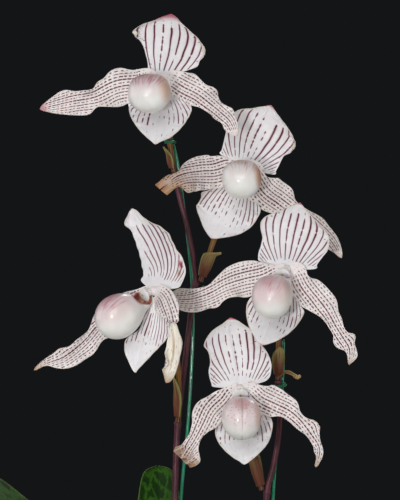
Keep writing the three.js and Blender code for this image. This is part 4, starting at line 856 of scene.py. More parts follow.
# Flower parts, one table for the five flowers
# A heart is the middle of the seat on the ovary's end, and each midrib runs from it in
# millimetres: right, away, up. Widths are half widths at shares of the midrib's length.
# lines is the number of veins; middle is how strong they are in the midst of a sepal, low and
# high are where they begin and end, and bare is the side that has none. tan and blush colour
# the end, and each mark is a spot: along, across, its size both ways, its tan and its blush.
FLOWERS = [
    dict(
        heart=(-29.9, -22, 478.6), face=(-0.2, -1, 0),
        dorsal=dict(
            midrib=[(0.1, 1, 0.6), (3.5, 3.6, 13.3), (5.8, 3, 24.9), (6.2, -1, 34.9), (6, -4.5, 39.1)],
            width=[(0, 3), (0.1, 9), (0.2, 11.1), (0.3, 18.6), (0.4, 20.5), (0.5, 25.9), (0.58, 25.6),
                   (0.65, 21.2), (0.75, 14.6), (0.85, 9.2), (0.93, 5.8), (0.965, 5.9), (1, 4.7)],
            other=[(0, 3), (0.1, 9), (0.2, 10.5), (0.35, 13.5), (0.5, 17.4), (0.6, 22.6), (0.7, 28.6),
                   (0.78, 26.1), (0.85, 18.8), (0.92, 11.1), (0.965, 8.5), (1, 6.8)],
            lines=10.5, middle=0.8, low=0.04, high=0.88, blush_from=0.88,
            curls=((-1, 0.71, 0.1, 0.68, 2.5, 0), (1, 0.55, 0.1, 0.8, 2.2, 0))),
        synsepal=dict(
            midrib=[(0, 1.5, -3.4), (-0.6, 1.2, -16.5), (-1.7, -2, -27.3), (-3.3, -6, -36.9)],
            width=[(0, 3), (0.1, 13), (0.2, 19.1), (0.35, 18.6), (0.5, 17.4), (0.65, 14.7), (0.8, 10.4),
                   (0.9, 6), (0.965, 2.9), (1, 2.3)],
            other=[(0, 3), (0.1, 12), (0.2, 16.9), (0.35, 19.8), (0.5, 19.3), (0.65, 16.9), (0.8, 12.8),
                   (0.9, 8.7), (0.965, 4.1), (1, 3.3)],
            lines=12, middle=0.25, low=0.1, high=0.72, strength=0.72),
        petal_left=dict(
            midrib=[(-1, -1.2, 1), (-6.5, -1, 0.9), (-12.4, 0, -1.1), (-25.4, 3, -2.6), (-39.1, 6, -8.3),
                    (-54.1, 9, -10.9), (-64.8, 10, -13.2), (-71.9, 9, -15.1)],
            width=[(0, 4), (0.08, 7.3), (0.15, 8.7), (0.2, 8.8), (0.26, 9.8), (0.31, 11.2), (0.36, 10.4),
                   (0.41, 8.2), (0.47, 7.9), (0.55, 5.8), (0.64, 5.6), (0.7, 5.7), (0.76, 7.3), (0.82, 7.1),
                   (0.9, 4.6), (1, 1)],
            other=[(0, 4), (0.1, 11.2), (0.2, 9.8), (0.32, 11.6), (0.4, 11.2), (0.45, 9.5), (0.5, 7.3),
                   (0.55, 6.1), (0.61, 9.2), (0.7, 8.9), (0.8, 6.9), (0.9, 4.6), (1, 1)],
            wave=1.8, waves=3, blush=0.6, blush_from=0.9),
        petal_right=dict(
            midrib=[(1, -1.2, 1), (6.5, -1.5, 0.7), (13.5, -4, -3.4), (21.7, -8, -8), (29.2, -13, -14.2),
                    (35.5, -18, -19.8), (40.1, -21, -24.7), (44.1, -22, -33.3)],
            width=[(0, 4), (0.1, 7.5), (0.3, 7.8), (0.4, 7.5), (0.5, 5.5), (0.6, 4.9), (0.7, 5.3), (0.8, 4.4),
                   (0.88, 5.4), (0.94, 3.9), (1, 1)],
            other=[(0, 4), (0.1, 6.5), (0.2, 9), (0.28, 9.6), (0.36, 8), (0.41, 7.4), (0.46, 8.6),
                   (0.52, 8.1),
                   (0.6, 5.7), (0.66, 4.6), (0.72, 5.1), (0.77, 5.8), (0.84, 4.1), (0.92, 3.1), (1, 1)],
            wave=1.6, waves=3, face_end=(-0.5, -1, 0.2)),
        pouch=dict(centre=(-6.1, -22, -8.8), radii=(12.3, 11.2, 13), wash=0.3, streaks=0.9, rim=0.25,
                   tan=0.7),
        ovary=[(-22.5, 3.9, 426.9), (-25, 2, 443.1), (-27.6, -4, 460.7), (-29.5, -12, 474.2),
               (-29.6, -17.5, 477.6)],
        bract=dict(out=(-1, -0.4, 0), end=0.25, girth=0.85)),
    dict(
        heart=(18.3, -18, 428.3), face=(0, -1, 0),
        dorsal=dict(
            midrib=[(0.2, 1, 0.6), (6, 4.4, 15.6), (11.3, 3.5, 27.3), (14.7, 0, 33.6), (16.4, -3, 36.6)],
            width=[(0, 3), (0.06, 18.2), (0.12, 19), (0.2, 19.5), (0.3, 19.9), (0.38, 20.7), (0.45, 24.3),
                   (0.55, 28.5), (0.65, 27.7), (0.75, 23.6), (0.83, 20.3), (0.9, 14), (0.95, 9.6),
                   (0.965, 7.6), (1, 6.1)],
            other=[(0, 3), (0.06, 15.1), (0.12, 15.5), (0.2, 15.8), (0.35, 16.9), (0.5, 18.6), (0.65, 18.2),
                   (0.75, 15.4), (0.85, 8.9), (0.94, 4.3), (0.965, 3), (1, 2.4)],
            lines=10, middle=0.5, low=0.02, high=0.84, curls=((1, 0.58, 0.13, 0.78, 2.2, 0),)),
        synsepal=dict(
            midrib=[(-0.8, 1.5, -3.4), (-6.5, 1.2, -18.9), (-12.5, -3, -31.9), (-18.9, -8, -41.3)],
            width=[(0, 3), (0.1, 10), (0.25, 14), (0.38, 15), (0.46, 18.5), (0.56, 17.8), (0.68, 18.2),
                   (0.76, 18.6), (0.84, 16.4), (0.92, 11.3), (0.965, 9.3), (1, 7.4)],
            other=[(0, 3), (0.1, 9), (0.25, 12.8), (0.36, 18), (0.5, 18.3), (0.62, 17.3), (0.72, 14.6),
                   (0.82, 10.3), (0.92, 5.6), (0.965, 4.2), (1, 3.4)],
            lines=13, middle=0.55, low=0.08, high=0.7, strength=0.85),
        petal_left=dict(
            midrib=[(-1, -1.2, 1), (-9, -2, 0.8), (-16.6, -6, -1.5), (-25.3, -12, -2.5), (-33, -19, -4),
                    (-39.8, -24.5, -7), (-45.4, -27, -11.6)],
            width=[(0, 4), (0.1, 3.6), (0.2, 7.4), (0.35, 9.9), (0.5, 9.3), (0.65, 6.9), (0.78, 3.4),
                   (0.9, 5.6), (1, 5)],
            other=[(0, 4), (0.1, 12.6), (0.3, 10.8), (0.5, 11.4), (0.68, 11.3), (0.78, 11.2), (0.88, 6.3),
                   (1, 5)],
            face=(0.2, -1, 0.2), face_end=(0.1, -0.8, 0.7), wave=0.5, fork=5.5, tip=0.01, tan=1.0,
            tan_from=0.5,
            curls=((1, 0.86, 0.2, 0.35, -2.1, 0.25), (-1, 0.9, 0.17, 0.35, -2.1, 0.1))),
        petal_right=dict(
            midrib=[(1.2, -1.2, 0.8), (6.8, -1.9, -0.9), (14.5, -1.8, -12), (23.3, 4, -18.3), (33, 9, -25.5),
                    (43.1, 12, -33.6), (52, 11, -42), (58.9, 8, -53.1)],
            width=[(0, 4), (0.08, 9), (0.16, 12.5), (0.26, 12.3), (0.36, 11.1), (0.46, 9), (0.6, 9.1),
                   (0.7, 8.4), (0.8, 7.6), (0.87, 5.6), (0.94, 2.3), (1, 0.8)],
            other=[(0, 4), (0.08, 5), (0.15, 3.2), (0.22, 8.2), (0.33, 8.9), (0.4, 8.2), (0.48, 4.4),
                   (0.6, 4.8), (0.7, 6.4), (0.78, 5.2), (0.88, 4.1), (0.95, 2.6), (1, 0.8)],
            wave=1.2, waves=2.5),
        pouch=dict(centre=(-1.3, -22, -7.6), radii=(11.4, 11.2, 12.5), wash=0.15, streaks=0.6, rim=0.1,
                   tan=1.0),
        ovary=[(-6.7, 3.1, 361), (-3, 2.5, 372.8), (1.4, 1, 386), (9.8, -1, 406.9), (16.2, -6, 422),
               (18.1, -13, 427.2)],
        bract=dict(out=(0.3, -1, 0.2), end=0.26, flare=2.6, tail=(4.5, -1, -2))),
    dict(
        heart=(-32.7, -48, 356.6), face=(-0.82, -0.57, 0),
        dorsal=dict(
            midrib=[(0.2, 0.6, 0.6), (3.6, 3.8, 12), (-0.8, 3, 26.3), (-7, 1, 37.7), (-13.2, -1, 46.9)],
            width=[(0, 3), (0.06, 14.7), (0.12, 16.9), (0.2, 18.5), (0.3, 18.1), (0.42, 16.2), (0.52, 16.8),
                   (0.6, 17.5), (0.7, 14.6), (0.78, 8.8), (0.86, 4.8), (0.94, 3.7), (0.965, 3.9), (1, 3.1)],
            other=[(0, 3), (0.08, 13.2), (0.16, 13.4), (0.3, 13.9), (0.45, 11.9), (0.6, 10.3), (0.72, 8.9),
                   (0.82, 8.2), (0.9, 10), (0.95, 7.9), (0.965, 6), (1, 4.8)],
            face=(-0.65, -0.76, 0), lines=8, middle=0.95, low=0.06, high=0.84, blush=0.05, bare=(-0.8, -0.5),
            curls=((-1, 0.92, 0.1, 0.3, 1.0, 0),),
            marks=((0.27, 0.84, 0.03, 0.07, 0.9, 1.0), (0.2, 0.76, 0.025, 0.06, 1.0, 0.2))),
        synsepal=dict(
            midrib=[(0.8, 0.6, -3.6), (-4, -0.2, -19.6), (-8.2, -1.5, -34), (-11.1, -3, -46.5)],
            width=[(0, 3), (0.2, 3.6), (0.45, 4), (0.6, 9.6), (0.7, 10), (0.8, 8.1), (0.9, 4.7), (0.965, 3.1),
                   (1, 2.4)],
            other=[(0, 3), (0.15, 10.1), (0.28, 14.2), (0.4, 15.7), (0.52, 14.3), (0.66, 10.8), (0.8, 6.8),
                   (0.92, 2.6), (0.965, 1.3), (1, 1)],
            face=(-0.4, -0.92, 0), lines=11, middle=0.75, low=0.08, high=0.62, blush=0.2),
        petal_left=dict(
            midrib=[(-0.8, 0.8, 0.8), (-12.4, 9.2, -5), (-24, 14.5, -12), (-33.5, 16, -20.5), (-42, 14, -30),
                    (-53, 11, -38.5), (-62.6, 9, -42), (-70, 8, -45.8)],
            width=[(0, 4), (0.15, 4.7), (0.3, 9.2), (0.44, 9.9), (0.52, 3.2), (0.6, 5.2), (0.7, 2.8),
                   (0.76, 3.4), (0.82, 4.1), (0.9, 3), (1, 0.8)],
            other=[(0, 4), (0.15, 10), (0.35, 13.6), (0.48, 11.1), (0.56, 9.2), (0.66, 9.5), (0.75, 8.9),
                   (0.85, 5), (0.92, 1), (1, 0.8)],
            face_end=(-0.3, -1, 0.2), wave=1.2, waves=2.5, tan=0.9, tan_from=0.86,
            curls=((1, 0.74, 0.07, 0.45, 2.0, 0.9),)),
        petal_right=dict(
            midrib=[(0.8, -1, 0.8), (5, -9, -2), (8, -16, -7.5), (10.4, -20, -14.5), (11.2, -22, -22),
                    (11.6, -22, -33), (9.6, -20, -43), (6.8, -18, -51)],
            width=[(0, 4), (0.1, 9.8), (0.25, 9.4), (0.34, 7.2), (0.42, 4.6), (0.48, 3.2), (0.54, 4.4),
                   (0.62, 7), (0.72, 5.6), (0.82, 4.2), (0.92, 3.2), (1, 1.6)],
            other=[(0, 4), (0.1, 4.4), (0.22, 5.6), (0.34, 5.6), (0.42, 3.8), (0.48, 2.8), (0.54, 3.4),
                   (0.62, 4.6), (0.72, 4), (0.82, 3.4), (0.92, 3), (1, 1.6)],
            face=(-0.5, -0.85, 0.1), face_end=(0.6, 0.8, 0), turn_from=0.3, turn_to=0.62, wave=0.4,
            frill=0.15, tan=0.9,
            tan_from=0.86, crease=1.6, curls=((-1, 0.82, 0.1, 0.0, -3.0, 1.3), (1, 0.66, 0.16, 0.7, -1.3, 0)),
            marks=((0.68, 0.04, 0.16, 0.07, 0.75, 0), (0.62, 0.96, 0.2, 0.05, 0.6, 0))),
        pouch=dict(centre=(-20.4, -14, -14.2), radii=(11.7, 12.4, 13.5), wash=0.45, streaks=0.75, rim=0.9,
                   tan=0.1,
                   roll=-0.9),
        ovary=[(-20, 0, 276.5), (-19.5, -4, 296), (-20.5, -12, 314), (-23.5, -26, 334), (-26.6, -40, 351),
               (-29, -45, 355.3)],
        bract=dict(out=(-1, -0.5, 0), end=0.32, flare=1.2)),
    dict(
        heart=(43, -42, 368.5), face=(-0.25, -0.97, 0),
        dorsal=dict(
            midrib=[(0.1, 1, 0.6), (3.1, 5, 14.4), (6, 5, 27.7), (7, 2, 34), (7.4, -1, 38.5)],
            width=[(0, 3), (0.06, 15.8), (0.12, 16.6), (0.2, 18.1), (0.35, 21.4), (0.5, 22.3), (0.6, 21.4),
                   (0.7, 18.8), (0.8, 15), (0.88, 8.9), (0.94, 5.2), (0.965, 3.8), (1, 3)],
            other=[(0, 3), (0.06, 16.3), (0.12, 18.2), (0.18, 18.4), (0.28, 17.8), (0.38, 17.7), (0.5, 20),
                   (0.6, 20.4), (0.7, 18.2), (0.8, 13.1), (0.9, 7.9), (0.95, 4.7), (0.965, 3.6), (1, 2.9)],
            lines=9.5, middle=0.9, low=0.03, high=0.87),
        synsepal=dict(
            midrib=[(-0.6, 1.8, -3.5), (-5.1, 4.4, -17.2), (-10.1, 1, -31.3), (-14.9, -5, -42.9)],
            width=[(0, 3), (0.15, 9), (0.3, 11.3), (0.42, 15.2), (0.52, 16.1), (0.65, 14.8), (0.8, 11.3),
                   (0.92, 6.3), (0.965, 5.1), (1, 4.1)],
            other=[(0, 3), (0.15, 10), (0.28, 13.2), (0.38, 17.6), (0.52, 17.7), (0.65, 16.1), (0.8, 12.6),
                   (0.92, 7.7), (0.965, 5.4), (1, 4.3)],
            lines=13, middle=0.1, low=0.1, high=0.78, strength=0.8, blush=0.5),
        petal_left=dict(
            midrib=[(-1, -1.2, 1), (-6.5, -1.4, 0.9), (-14.3, -1.8, -2.6), (-25.1, 5, -5.3), (-35.5, 14, -9),
                    (-45.3, 19, -14.3), (-54.7, 22, -17.3), (-62, 23, -17.5), (-68, 23, -17)],
            width=[(0, 4), (0.08, 2), (0.15, 6.8), (0.28, 9.7), (0.4, 10.1), (0.5, 9), (0.58, 7), (0.66, 4.6),
                   (0.75, 5.2), (0.85, 6.3), (0.94, 6.3), (1, 3.5)],
            other=[(0, 4), (0.1, 9.4), (0.25, 10), (0.35, 10.9), (0.45, 9.7), (0.55, 7.9), (0.62, 8.2),
                   (0.67, 9.5), (0.73, 8.1), (0.82, 8.1), (0.92, 6.2), (1, 3)],
            wave=1.4, waves=3),
        petal_right=dict(
            midrib=[(1.2, -1.2, 1), (6.4, -2.2, -0.5), (10.8, -5, -8), (16.8, -9, -15.7), (22, -13, -22.8),
                    (26.3, -15, -30.6), (30.6, -15, -37.8), (34.5, -14, -44.5), (34.7, -12, -53.6)],
            width=[(0, 4), (0.06, 13.7), (0.2, 11.6), (0.3, 11), (0.4, 8.4), (0.5, 5.8), (0.62, 4.3),
                   (0.7, 4),
                   (0.76, 6.2), (0.82, 5.2), (0.9, 1.8), (1, 0.8)],
            other=[(0, 4), (0.08, 4.6), (0.15, 3.1), (0.25, 6.9), (0.35, 8.1), (0.45, 7.9), (0.55, 5.5),
                   (0.62, 5.2), (0.68, 4), (0.74, 3.9), (0.8, 5.5), (0.85, 3.1), (0.93, 4.4), (1, 0.8)],
            face_end=(0.35, -0.9, 0.3), turn_from=0.7, wave=1.4, waves=3, tan=0.7, tan_from=0.9,
            curls=((-1, 0.82, 0.05, 0.4, 2.2, 0.7),)),
        pouch=dict(centre=(-9.6, -22, -15.2), radii=(11.1, 12, 12.5), wash=0.5, streaks=0.5, rim=0.8,
                   tan=0.25),
        ovary=[(39.5, -6.1, 302.7), (39.7, -9, 323.5), (41.5, -15, 344.6), (44, -26, 360.5),
               (43.9, -36.5, 367.3)],
        bract=dict(out=(0.2, -1, 0), end=0.25, flare=1.4,
                   ear=[(40.2, -8.6, 304), (43.5, -9.6, 307), (47.5, -10, 306), (51, -10, 304.4),
                        (52.8, -10, 305.6)])),
    dict(
        heart=(16.2, -32, 299.3), face=(0, -1, 0),
        dorsal=dict(
            midrib=[(0, 1, 0.6), (-1.6, 5, 15.3), (-4, 4, 28.2), (-5.2, 1, 35.9), (-5.5, -2.5, 41.3)],
            width=[(0, 3), (0.05, 13.9), (0.1, 17.6), (0.18, 19.1), (0.28, 19.8), (0.4, 18.7), (0.52, 16.3),
                   (0.65, 14.3), (0.76, 13.2), (0.86, 10.6), (0.94, 7.8), (0.965, 7.3), (1, 5.9)],
            other=[(0, 3), (0.05, 15), (0.1, 16.2), (0.18, 17), (0.28, 17.1), (0.38, 15.9), (0.5, 15.5),
                   (0.6, 16.2), (0.68, 18.1), (0.78, 16.3), (0.86, 12.6), (0.94, 5.4), (0.965, 4.2),
                   (1, 3.3)],
            lines=9, middle=0.42, low=0.03, high=0.8, crease=0.9),
        synsepal=dict(
            midrib=[(0.2, 1.5, -3.4), (1.7, 0.5, -17.7), (2.1, -4, -30.6), (2.3, -9, -42.7)],
            width=[(0, 3), (0.15, 8), (0.3, 10.9), (0.42, 15.2), (0.52, 16.9), (0.65, 16.2), (0.8, 12.3),
                   (0.92, 6.4), (0.965, 3.4), (1, 2.7)],
            other=[(0, 3), (0.15, 9.5), (0.3, 14.9), (0.42, 17.3), (0.55, 16.9), (0.7, 14.9), (0.82, 10.9),
                   (0.93, 5.6), (0.965, 4.2), (1, 3.4)],
            lines=12, middle=0.2, low=0.1, high=0.72, strength=0.72, blush=0.05),
        petal_left=dict(
            midrib=[(-1, -1.2, 1), (-6.4, -1.8, 0), (-10.8, -4, -5), (-17.5, -9, -11.3), (-21.5, -12, -19),
                    (-25.5, -13, -26.8), (-29.5, -11, -33.7), (-32.4, -7, -39.4)],
            width=[(0, 4), (0.1, 1.8), (0.2, 4.9), (0.33, 6.3), (0.43, 8.6), (0.52, 8.2), (0.62, 5.8),
                   (0.8, 4.8), (0.9, 5.7), (1, 9.4)],
            other=[(0, 4), (0.12, 8), (0.3, 9.5), (0.45, 9.1), (0.53, 8.1), (0.62, 4.5), (0.7, 3.2),
                   (0.8, 4.8), (0.88, 10), (1, 7.6)],
            face_end=(-0.3, -1, 0.4), wave=1.2, waves=2.5, tan=0.9, tan_from=0.8, ruffle=1.8, tip=0.006),
        petal_right=dict(
            midrib=[(1, -1.2, 1), (6.4, -1.7, 0.6), (12.8, -4, -4.4), (20.5, -8, -8), (28.4, -12, -11.6),
                    (34.5, -14, -17), (40.1, -15, -24.3), (45.2, -14, -33.4), (43.1, -12, -43.9)],
            width=[(0, 4), (0.1, 7.9), (0.25, 8.9), (0.32, 8.1), (0.38, 5.8), (0.5, 5.3), (0.6, 4.9),
                   (0.7, 2.7), (0.78, 2.8), (0.86, 3.4), (0.92, 1.4), (1, 0.8)],
            other=[(0, 4), (0.1, 4), (0.2, 8.7), (0.3, 9.2), (0.4, 7.9), (0.46, 6.7), (0.52, 3.4), (0.6, 3.5),
                   (0.66, 5.6), (0.72, 4.6), (0.8, 2), (0.9, 2.1), (1, 1)],
            face_end=(0.2, -0.9, 0.2), turn_from=0.7, wave=1.3, waves=2.5, tan=0.8, tan_from=0.86,
            curls=((-1, 0.66, 0.05, 0.4, 2.1, 0.6),)),
        pouch=dict(centre=(0.4, -22, -15.1), radii=(11.2, 12, 12.5), wash=0.4, streaks=0.3, flecks=0.8,
                   rim=1.0, tan=0.55,
                   seam=1.0),
        ovary=[(29.8, -7.3, 237), (26.5, -8, 250), (22.1, -10, 267.1), (18.8, -15, 283.5), (16.6, -24, 296.2),
               (16.3, -27.5, 298.3)],
        bract=dict(out=(-0.5, -1, -0.3), end=0.44, flare=1.4, girth=1.5)),
]


# Ovaries
# The stalk of each flower: slim and downy at the foot, ribbed above, and swollen at its end
# into the seat that the sepals, petals, pouch and column grow from.
SEAT_REACH = 3.2
ovary_skin, tree = new_material("ovary_downy_ribbed")
spread = add(tree, "Attribute", attribute_name="place", out=1)
apart = add(tree, "SeparateXYZ", {0: spread}).node
round_way, share = apart.outputs[0], apart.outputs[1]
place = add(tree, "TexCoord", out=3)
patch = add(tree, "TexNoise", {"Vector": place, "Scale": 180, "Detail": 4})
shifted = add(tree, "Math", {0: share, 1: add(tree, "MapRange",
                                              {0: patch, 1: 0.3, 2: 0.7, 3: -0.16, 4: 0.16})},
              operation="ADD")
along_tone = add(tree, "ValToRGB", {0: shifted},
                 stops=[(0.06, "#4a1c1c"), (0.3, "#7d5229"), (0.6, "#7a3322"), (0.84, "#8c4a30")])
whitened = add(tree, "Mix", {0: add(tree, "MapRange", {0: share, 1: 0.86, 2: 0.9, 3: 0.0, 4: 1.0}),
                             6: along_tone,
                             7: "#e6e1df"}, out=2, data_type="RGBA")
rib_wave = add(tree, "Math", {0: add(tree, "Math", {0: round_way, 1: 37.7}, operation="MULTIPLY")},
               operation="COSINE")
rib_low = add(tree, "MapRange", {0: share, 1: 0.88, 2: 0.8, 3: 0.0, 4: 0.6})
rib_mask = add(tree, "MapRange", {0: rib_wave, 1: 0.1, 2: 0.9, 3: 0.0, 4: rib_low})
ribbed = add(tree, "Mix", {0: rib_mask, 6: whitened, 7: "#8d7636"}, out=2, data_type="RGBA")
bump = add(tree, "Bump", {"Height": patch, "Strength": 0.3, "Distance": 0.0003})
skin = add(tree, "BsdfPrincipled", {"Base Color": ribbed, "Roughness": 0.5, "Normal": bump, "IOR": 1.42,
                                    "Subsurface Weight": 0.1, "Subsurface Scale": 0.001})
add(tree, "OutputMaterial", {0: skin})


def to_heart(flower):
    """The ovary's path, led on through the flower's heart to the seat."""
    heart = np.array(flower["heart"], float)
    return list(flower["ovary"]) + [tuple(heart), tuple(heart + unit(flower["face"]) * SEAT_REACH)]


for n, flower in enumerate(FLOWERS, 1):
    path = to_heart(flower)
    length = walk(path, [0, 1])[2]
    seat = [1 - d / length for d in (8.5, 5.4, SEAT_REACH, 1)]
    radii = [(0, 1.5), (0.2, 1.5), (0.55, 1.9), (seat[0], 1.6), (seat[1], 2.2), (seat[2], 2.8),
             (seat[3], 2.4), (1, 1.3)]
    stations = np.r_[np.linspace(0, seat[0], 70)[:-1], np.linspace(seat[0], 1, 26)]
    grid, out, centre, along, length = rod(path, radii, stations, 36)
    angle = np.linspace(0, 2 * np.pi, 36, endpoint=False)
    depth = (0.09 * ease((stations - 0.15) / 0.3) * ease((seat[0] + 0.05 - stations) / 0.1))[:, None]
    ribs = depth * np.cos(6 * angle)[None, :]
    grid = centre[:, None] + (grid - centre[:, None]) * (1 + ribs)[..., None]
    points, faces = capped(grid, centre, along, 0.3)
    round_way = np.tile(angle / (2 * np.pi), (len(stations), 1))
    share = np.tile(stations[:, None], (1, 36))
    values = np.stack([round_way, share, 0 * share], 2).reshape(-1, 3)
    values = np.vstack([values, [(0, 0, 0), (0, 1, 0)]])
    points, faces, where = with_hairs(points, faces, grid[:70], out[:70], 500, 0.6, HAIR_RADIUS)
    hair_values = np.stack([where[:, 1] / 36, stations[where[:, 0]], 0 * where[:, 0]], 1)
    ovary = make_mesh(f"flower_{n}_ovary_ribbed", points, faces, [ovary_skin], values={
        "place": np.vstack([values, hair_values])})
    settle(ovary, "ovary", f"flower_{n}_ovary")


# Bracts
# A small boat-shaped leaf clasps the foot of each ovary. It is thin and papery, red-brown at
# the foot and olive above with red-brown veins, and its dried tip is tan.
bract_skin, tree = new_material("bract_papery")
spread = add(tree, "Attribute", attribute_name="place", out=1)
apart = add(tree, "SeparateXYZ", {0: spread}).node
across, share = apart.outputs[0], apart.outputs[1]
veins = add(tree, "VectorMath", {0: spread, 1: (7, 1.1, 1)}, operation="MULTIPLY")
streak = add(tree, "TexNoise", {"Vector": veins, "Scale": 1, "Detail": 3})
tone = add(tree, "ValToRGB", {0: share}, stops=[(0.0, "#5e2c1c"), (0.35, "#70452a"), (0.7, "#8a7a4a"),
                                                (1.0, "#b39766")])
vein_mask = add(tree, "MapRange", {0: streak, 1: 0.48, 2: 0.6, 3: 0.0, 4: 0.85})
veined = add(tree, "Mix", {0: vein_mask, 6: tone, 7: "#5a2418"}, out=2, data_type="RGBA")
rim_mask = add(tree, "MapRange", {0: add(tree, "Math", {0: across}, operation="ABSOLUTE"), 1: 0.7, 2: 0.95,
                                  3: 0.0,
                                  4: 0.75})
edged = add(tree, "Mix", {0: rim_mask, 6: veined, 7: "#8d9650"}, out=2, data_type="RGBA")
bump = add(tree, "Bump", {"Height": streak, "Strength": 0.5, "Distance": 0.0004})
skin = add(tree, "BsdfPrincipled", {"Base Color": edged, "Roughness": 0.55, "Normal": bump, "IOR": 1.4,
                                    "Subsurface Weight": 0.15, "Subsurface Scale": 0.001})
add(tree, "OutputMaterial", {0: skin})

BRACT_ROWS = 60
BRACT_COLS = 24
BRACT_FOOT = 0.04
OVARY_RADIUS = 1.9
for n, flower in enumerate(FLOWERS, 1):
    spec = flower["bract"]
    rows, cols = BRACT_ROWS, BRACT_COLS
    t = np.linspace(0, 1, rows + 1)
    x = np.linspace(-1, 1, cols + 1)
    centre, along, _ = walk(to_heart(flower), BRACT_FOOT + (spec["end"] - BRACT_FOOT) * t)
    front = np.array(spec["out"], float)[None] * np.ones((rows + 1, 1))
    front = unit(front - np.sum(front * along, 1)[:, None] * along)
    side = np.cross(along, front)
    T, X = t[:, None], x[None, :]
    half = (1.5 + 0.3 * T) * spec.get("girth", 1) * np.clip(1 - T ** 3.2, 0.03, 1)
    angle = np.clip(half * X, -2.6, 2.6)
    base = OVARY_RADIUS + 0.35 + 0.9 * ease(3 * T) * (1 - T) + spec.get("flare", 1.6) * T ** 3
    tail = np.array(spec.get("tail", (0, 0, 0)), float) * (ease((T - 0.72) / 0.28) ** 1.3)[..., None]
    sheets = []
    for extra in (0.5, 0.0):
        ripple = 0.14 * np.sin(9 * T + 4 * X) * ease(3 * T) + 0.35 * np.exp(-(X / 0.1) ** 2) * (1 - T)
        ripple = ripple + 0.5 * np.abs(X) ** 4 * ease(2 * T)
        radius = base + extra + ripple
        sheets.append(centre[:, None] + front[:, None] * (radius * np.cos(angle))[..., None]
                      + side[:, None] * (radius * np.sin(angle))[..., None] + tail)
    points, faces, kinds = closed_sheets(sheets[0], sheets[1])
    place = np.stack([X + 0 * T, T + 0 * X, 0 * T * X + n], 2).reshape(-1, 3)
    place = np.vstack([place, place])
    if "ear" in spec:
        ear_front, ear_back, ear_s, ear_t, _ = blade(
            spec["ear"], [(0, 1.6), (0.4, 1.8), (0.8, 1.5), (1, 0.8)], (0, -0.4, 1), lambda t: 1.3 - 0.8 * t,
            face_end=(0, -1, 0.3), thickness=0.5, wave=0.3, rows=36, cols=14)
        ear_points, ear_faces, _ = closed_sheets(ear_front, ear_back)
        faces += [[v + len(points) for v in f] for f in ear_faces]
        points = np.vstack([points, ear_points])
        ear_place = np.stack([ear_s * 0.6, 0.5 + 0.5 * ear_t, 0 * ear_s + 9], 2).reshape(-1, 3)
        place = np.vstack([place, ear_place, ear_place])
    bract = make_mesh(f"flower_{n}_bract_veined", points, faces, [bract_skin], values={"place": place})
    settle(bract, "bract", f"flower_{n}_bract")


# Sepals and petals
# The dorsal sepal stands up like a hood, the two lower ones are joined into one behind the
# pouch, and two long petals hang at the sides. All are thin wet tissue, white with dark veins.
SEPAL_CUP = [(0, -0.15), (0.3, 0.1), (0.7, 0.55), (1, 0.7)]
SYNSEPAL_CUP = [(0, -0.1), (0.4, 0.35), (1, 0.6)]
PETAL_CUP = [(0, 0.05), (0.3, -0.25), (0.7, -0.3), (1, 0.5)]

# Millimetres from one row of dots to the next along a petal, and how the veins of a sepal
# spread from its foot, as a share of their widest spread.
PETAL_ROWS = [(0, 1.3), (0.15, 1.75), (0.4, 1.8), (0.6, 1.6), (0.8, 1.4), (0.93, 1.1), (1, 0.8)]
VEIN_FAN = [(0, 0.3), (0.15, 0.52), (0.4, 0.84), (0.65, 0.98), (0.85, 0.92), (1, 0.7)]
VEIN_SWAY = 0.07
PATTERN_SHIFT = 37


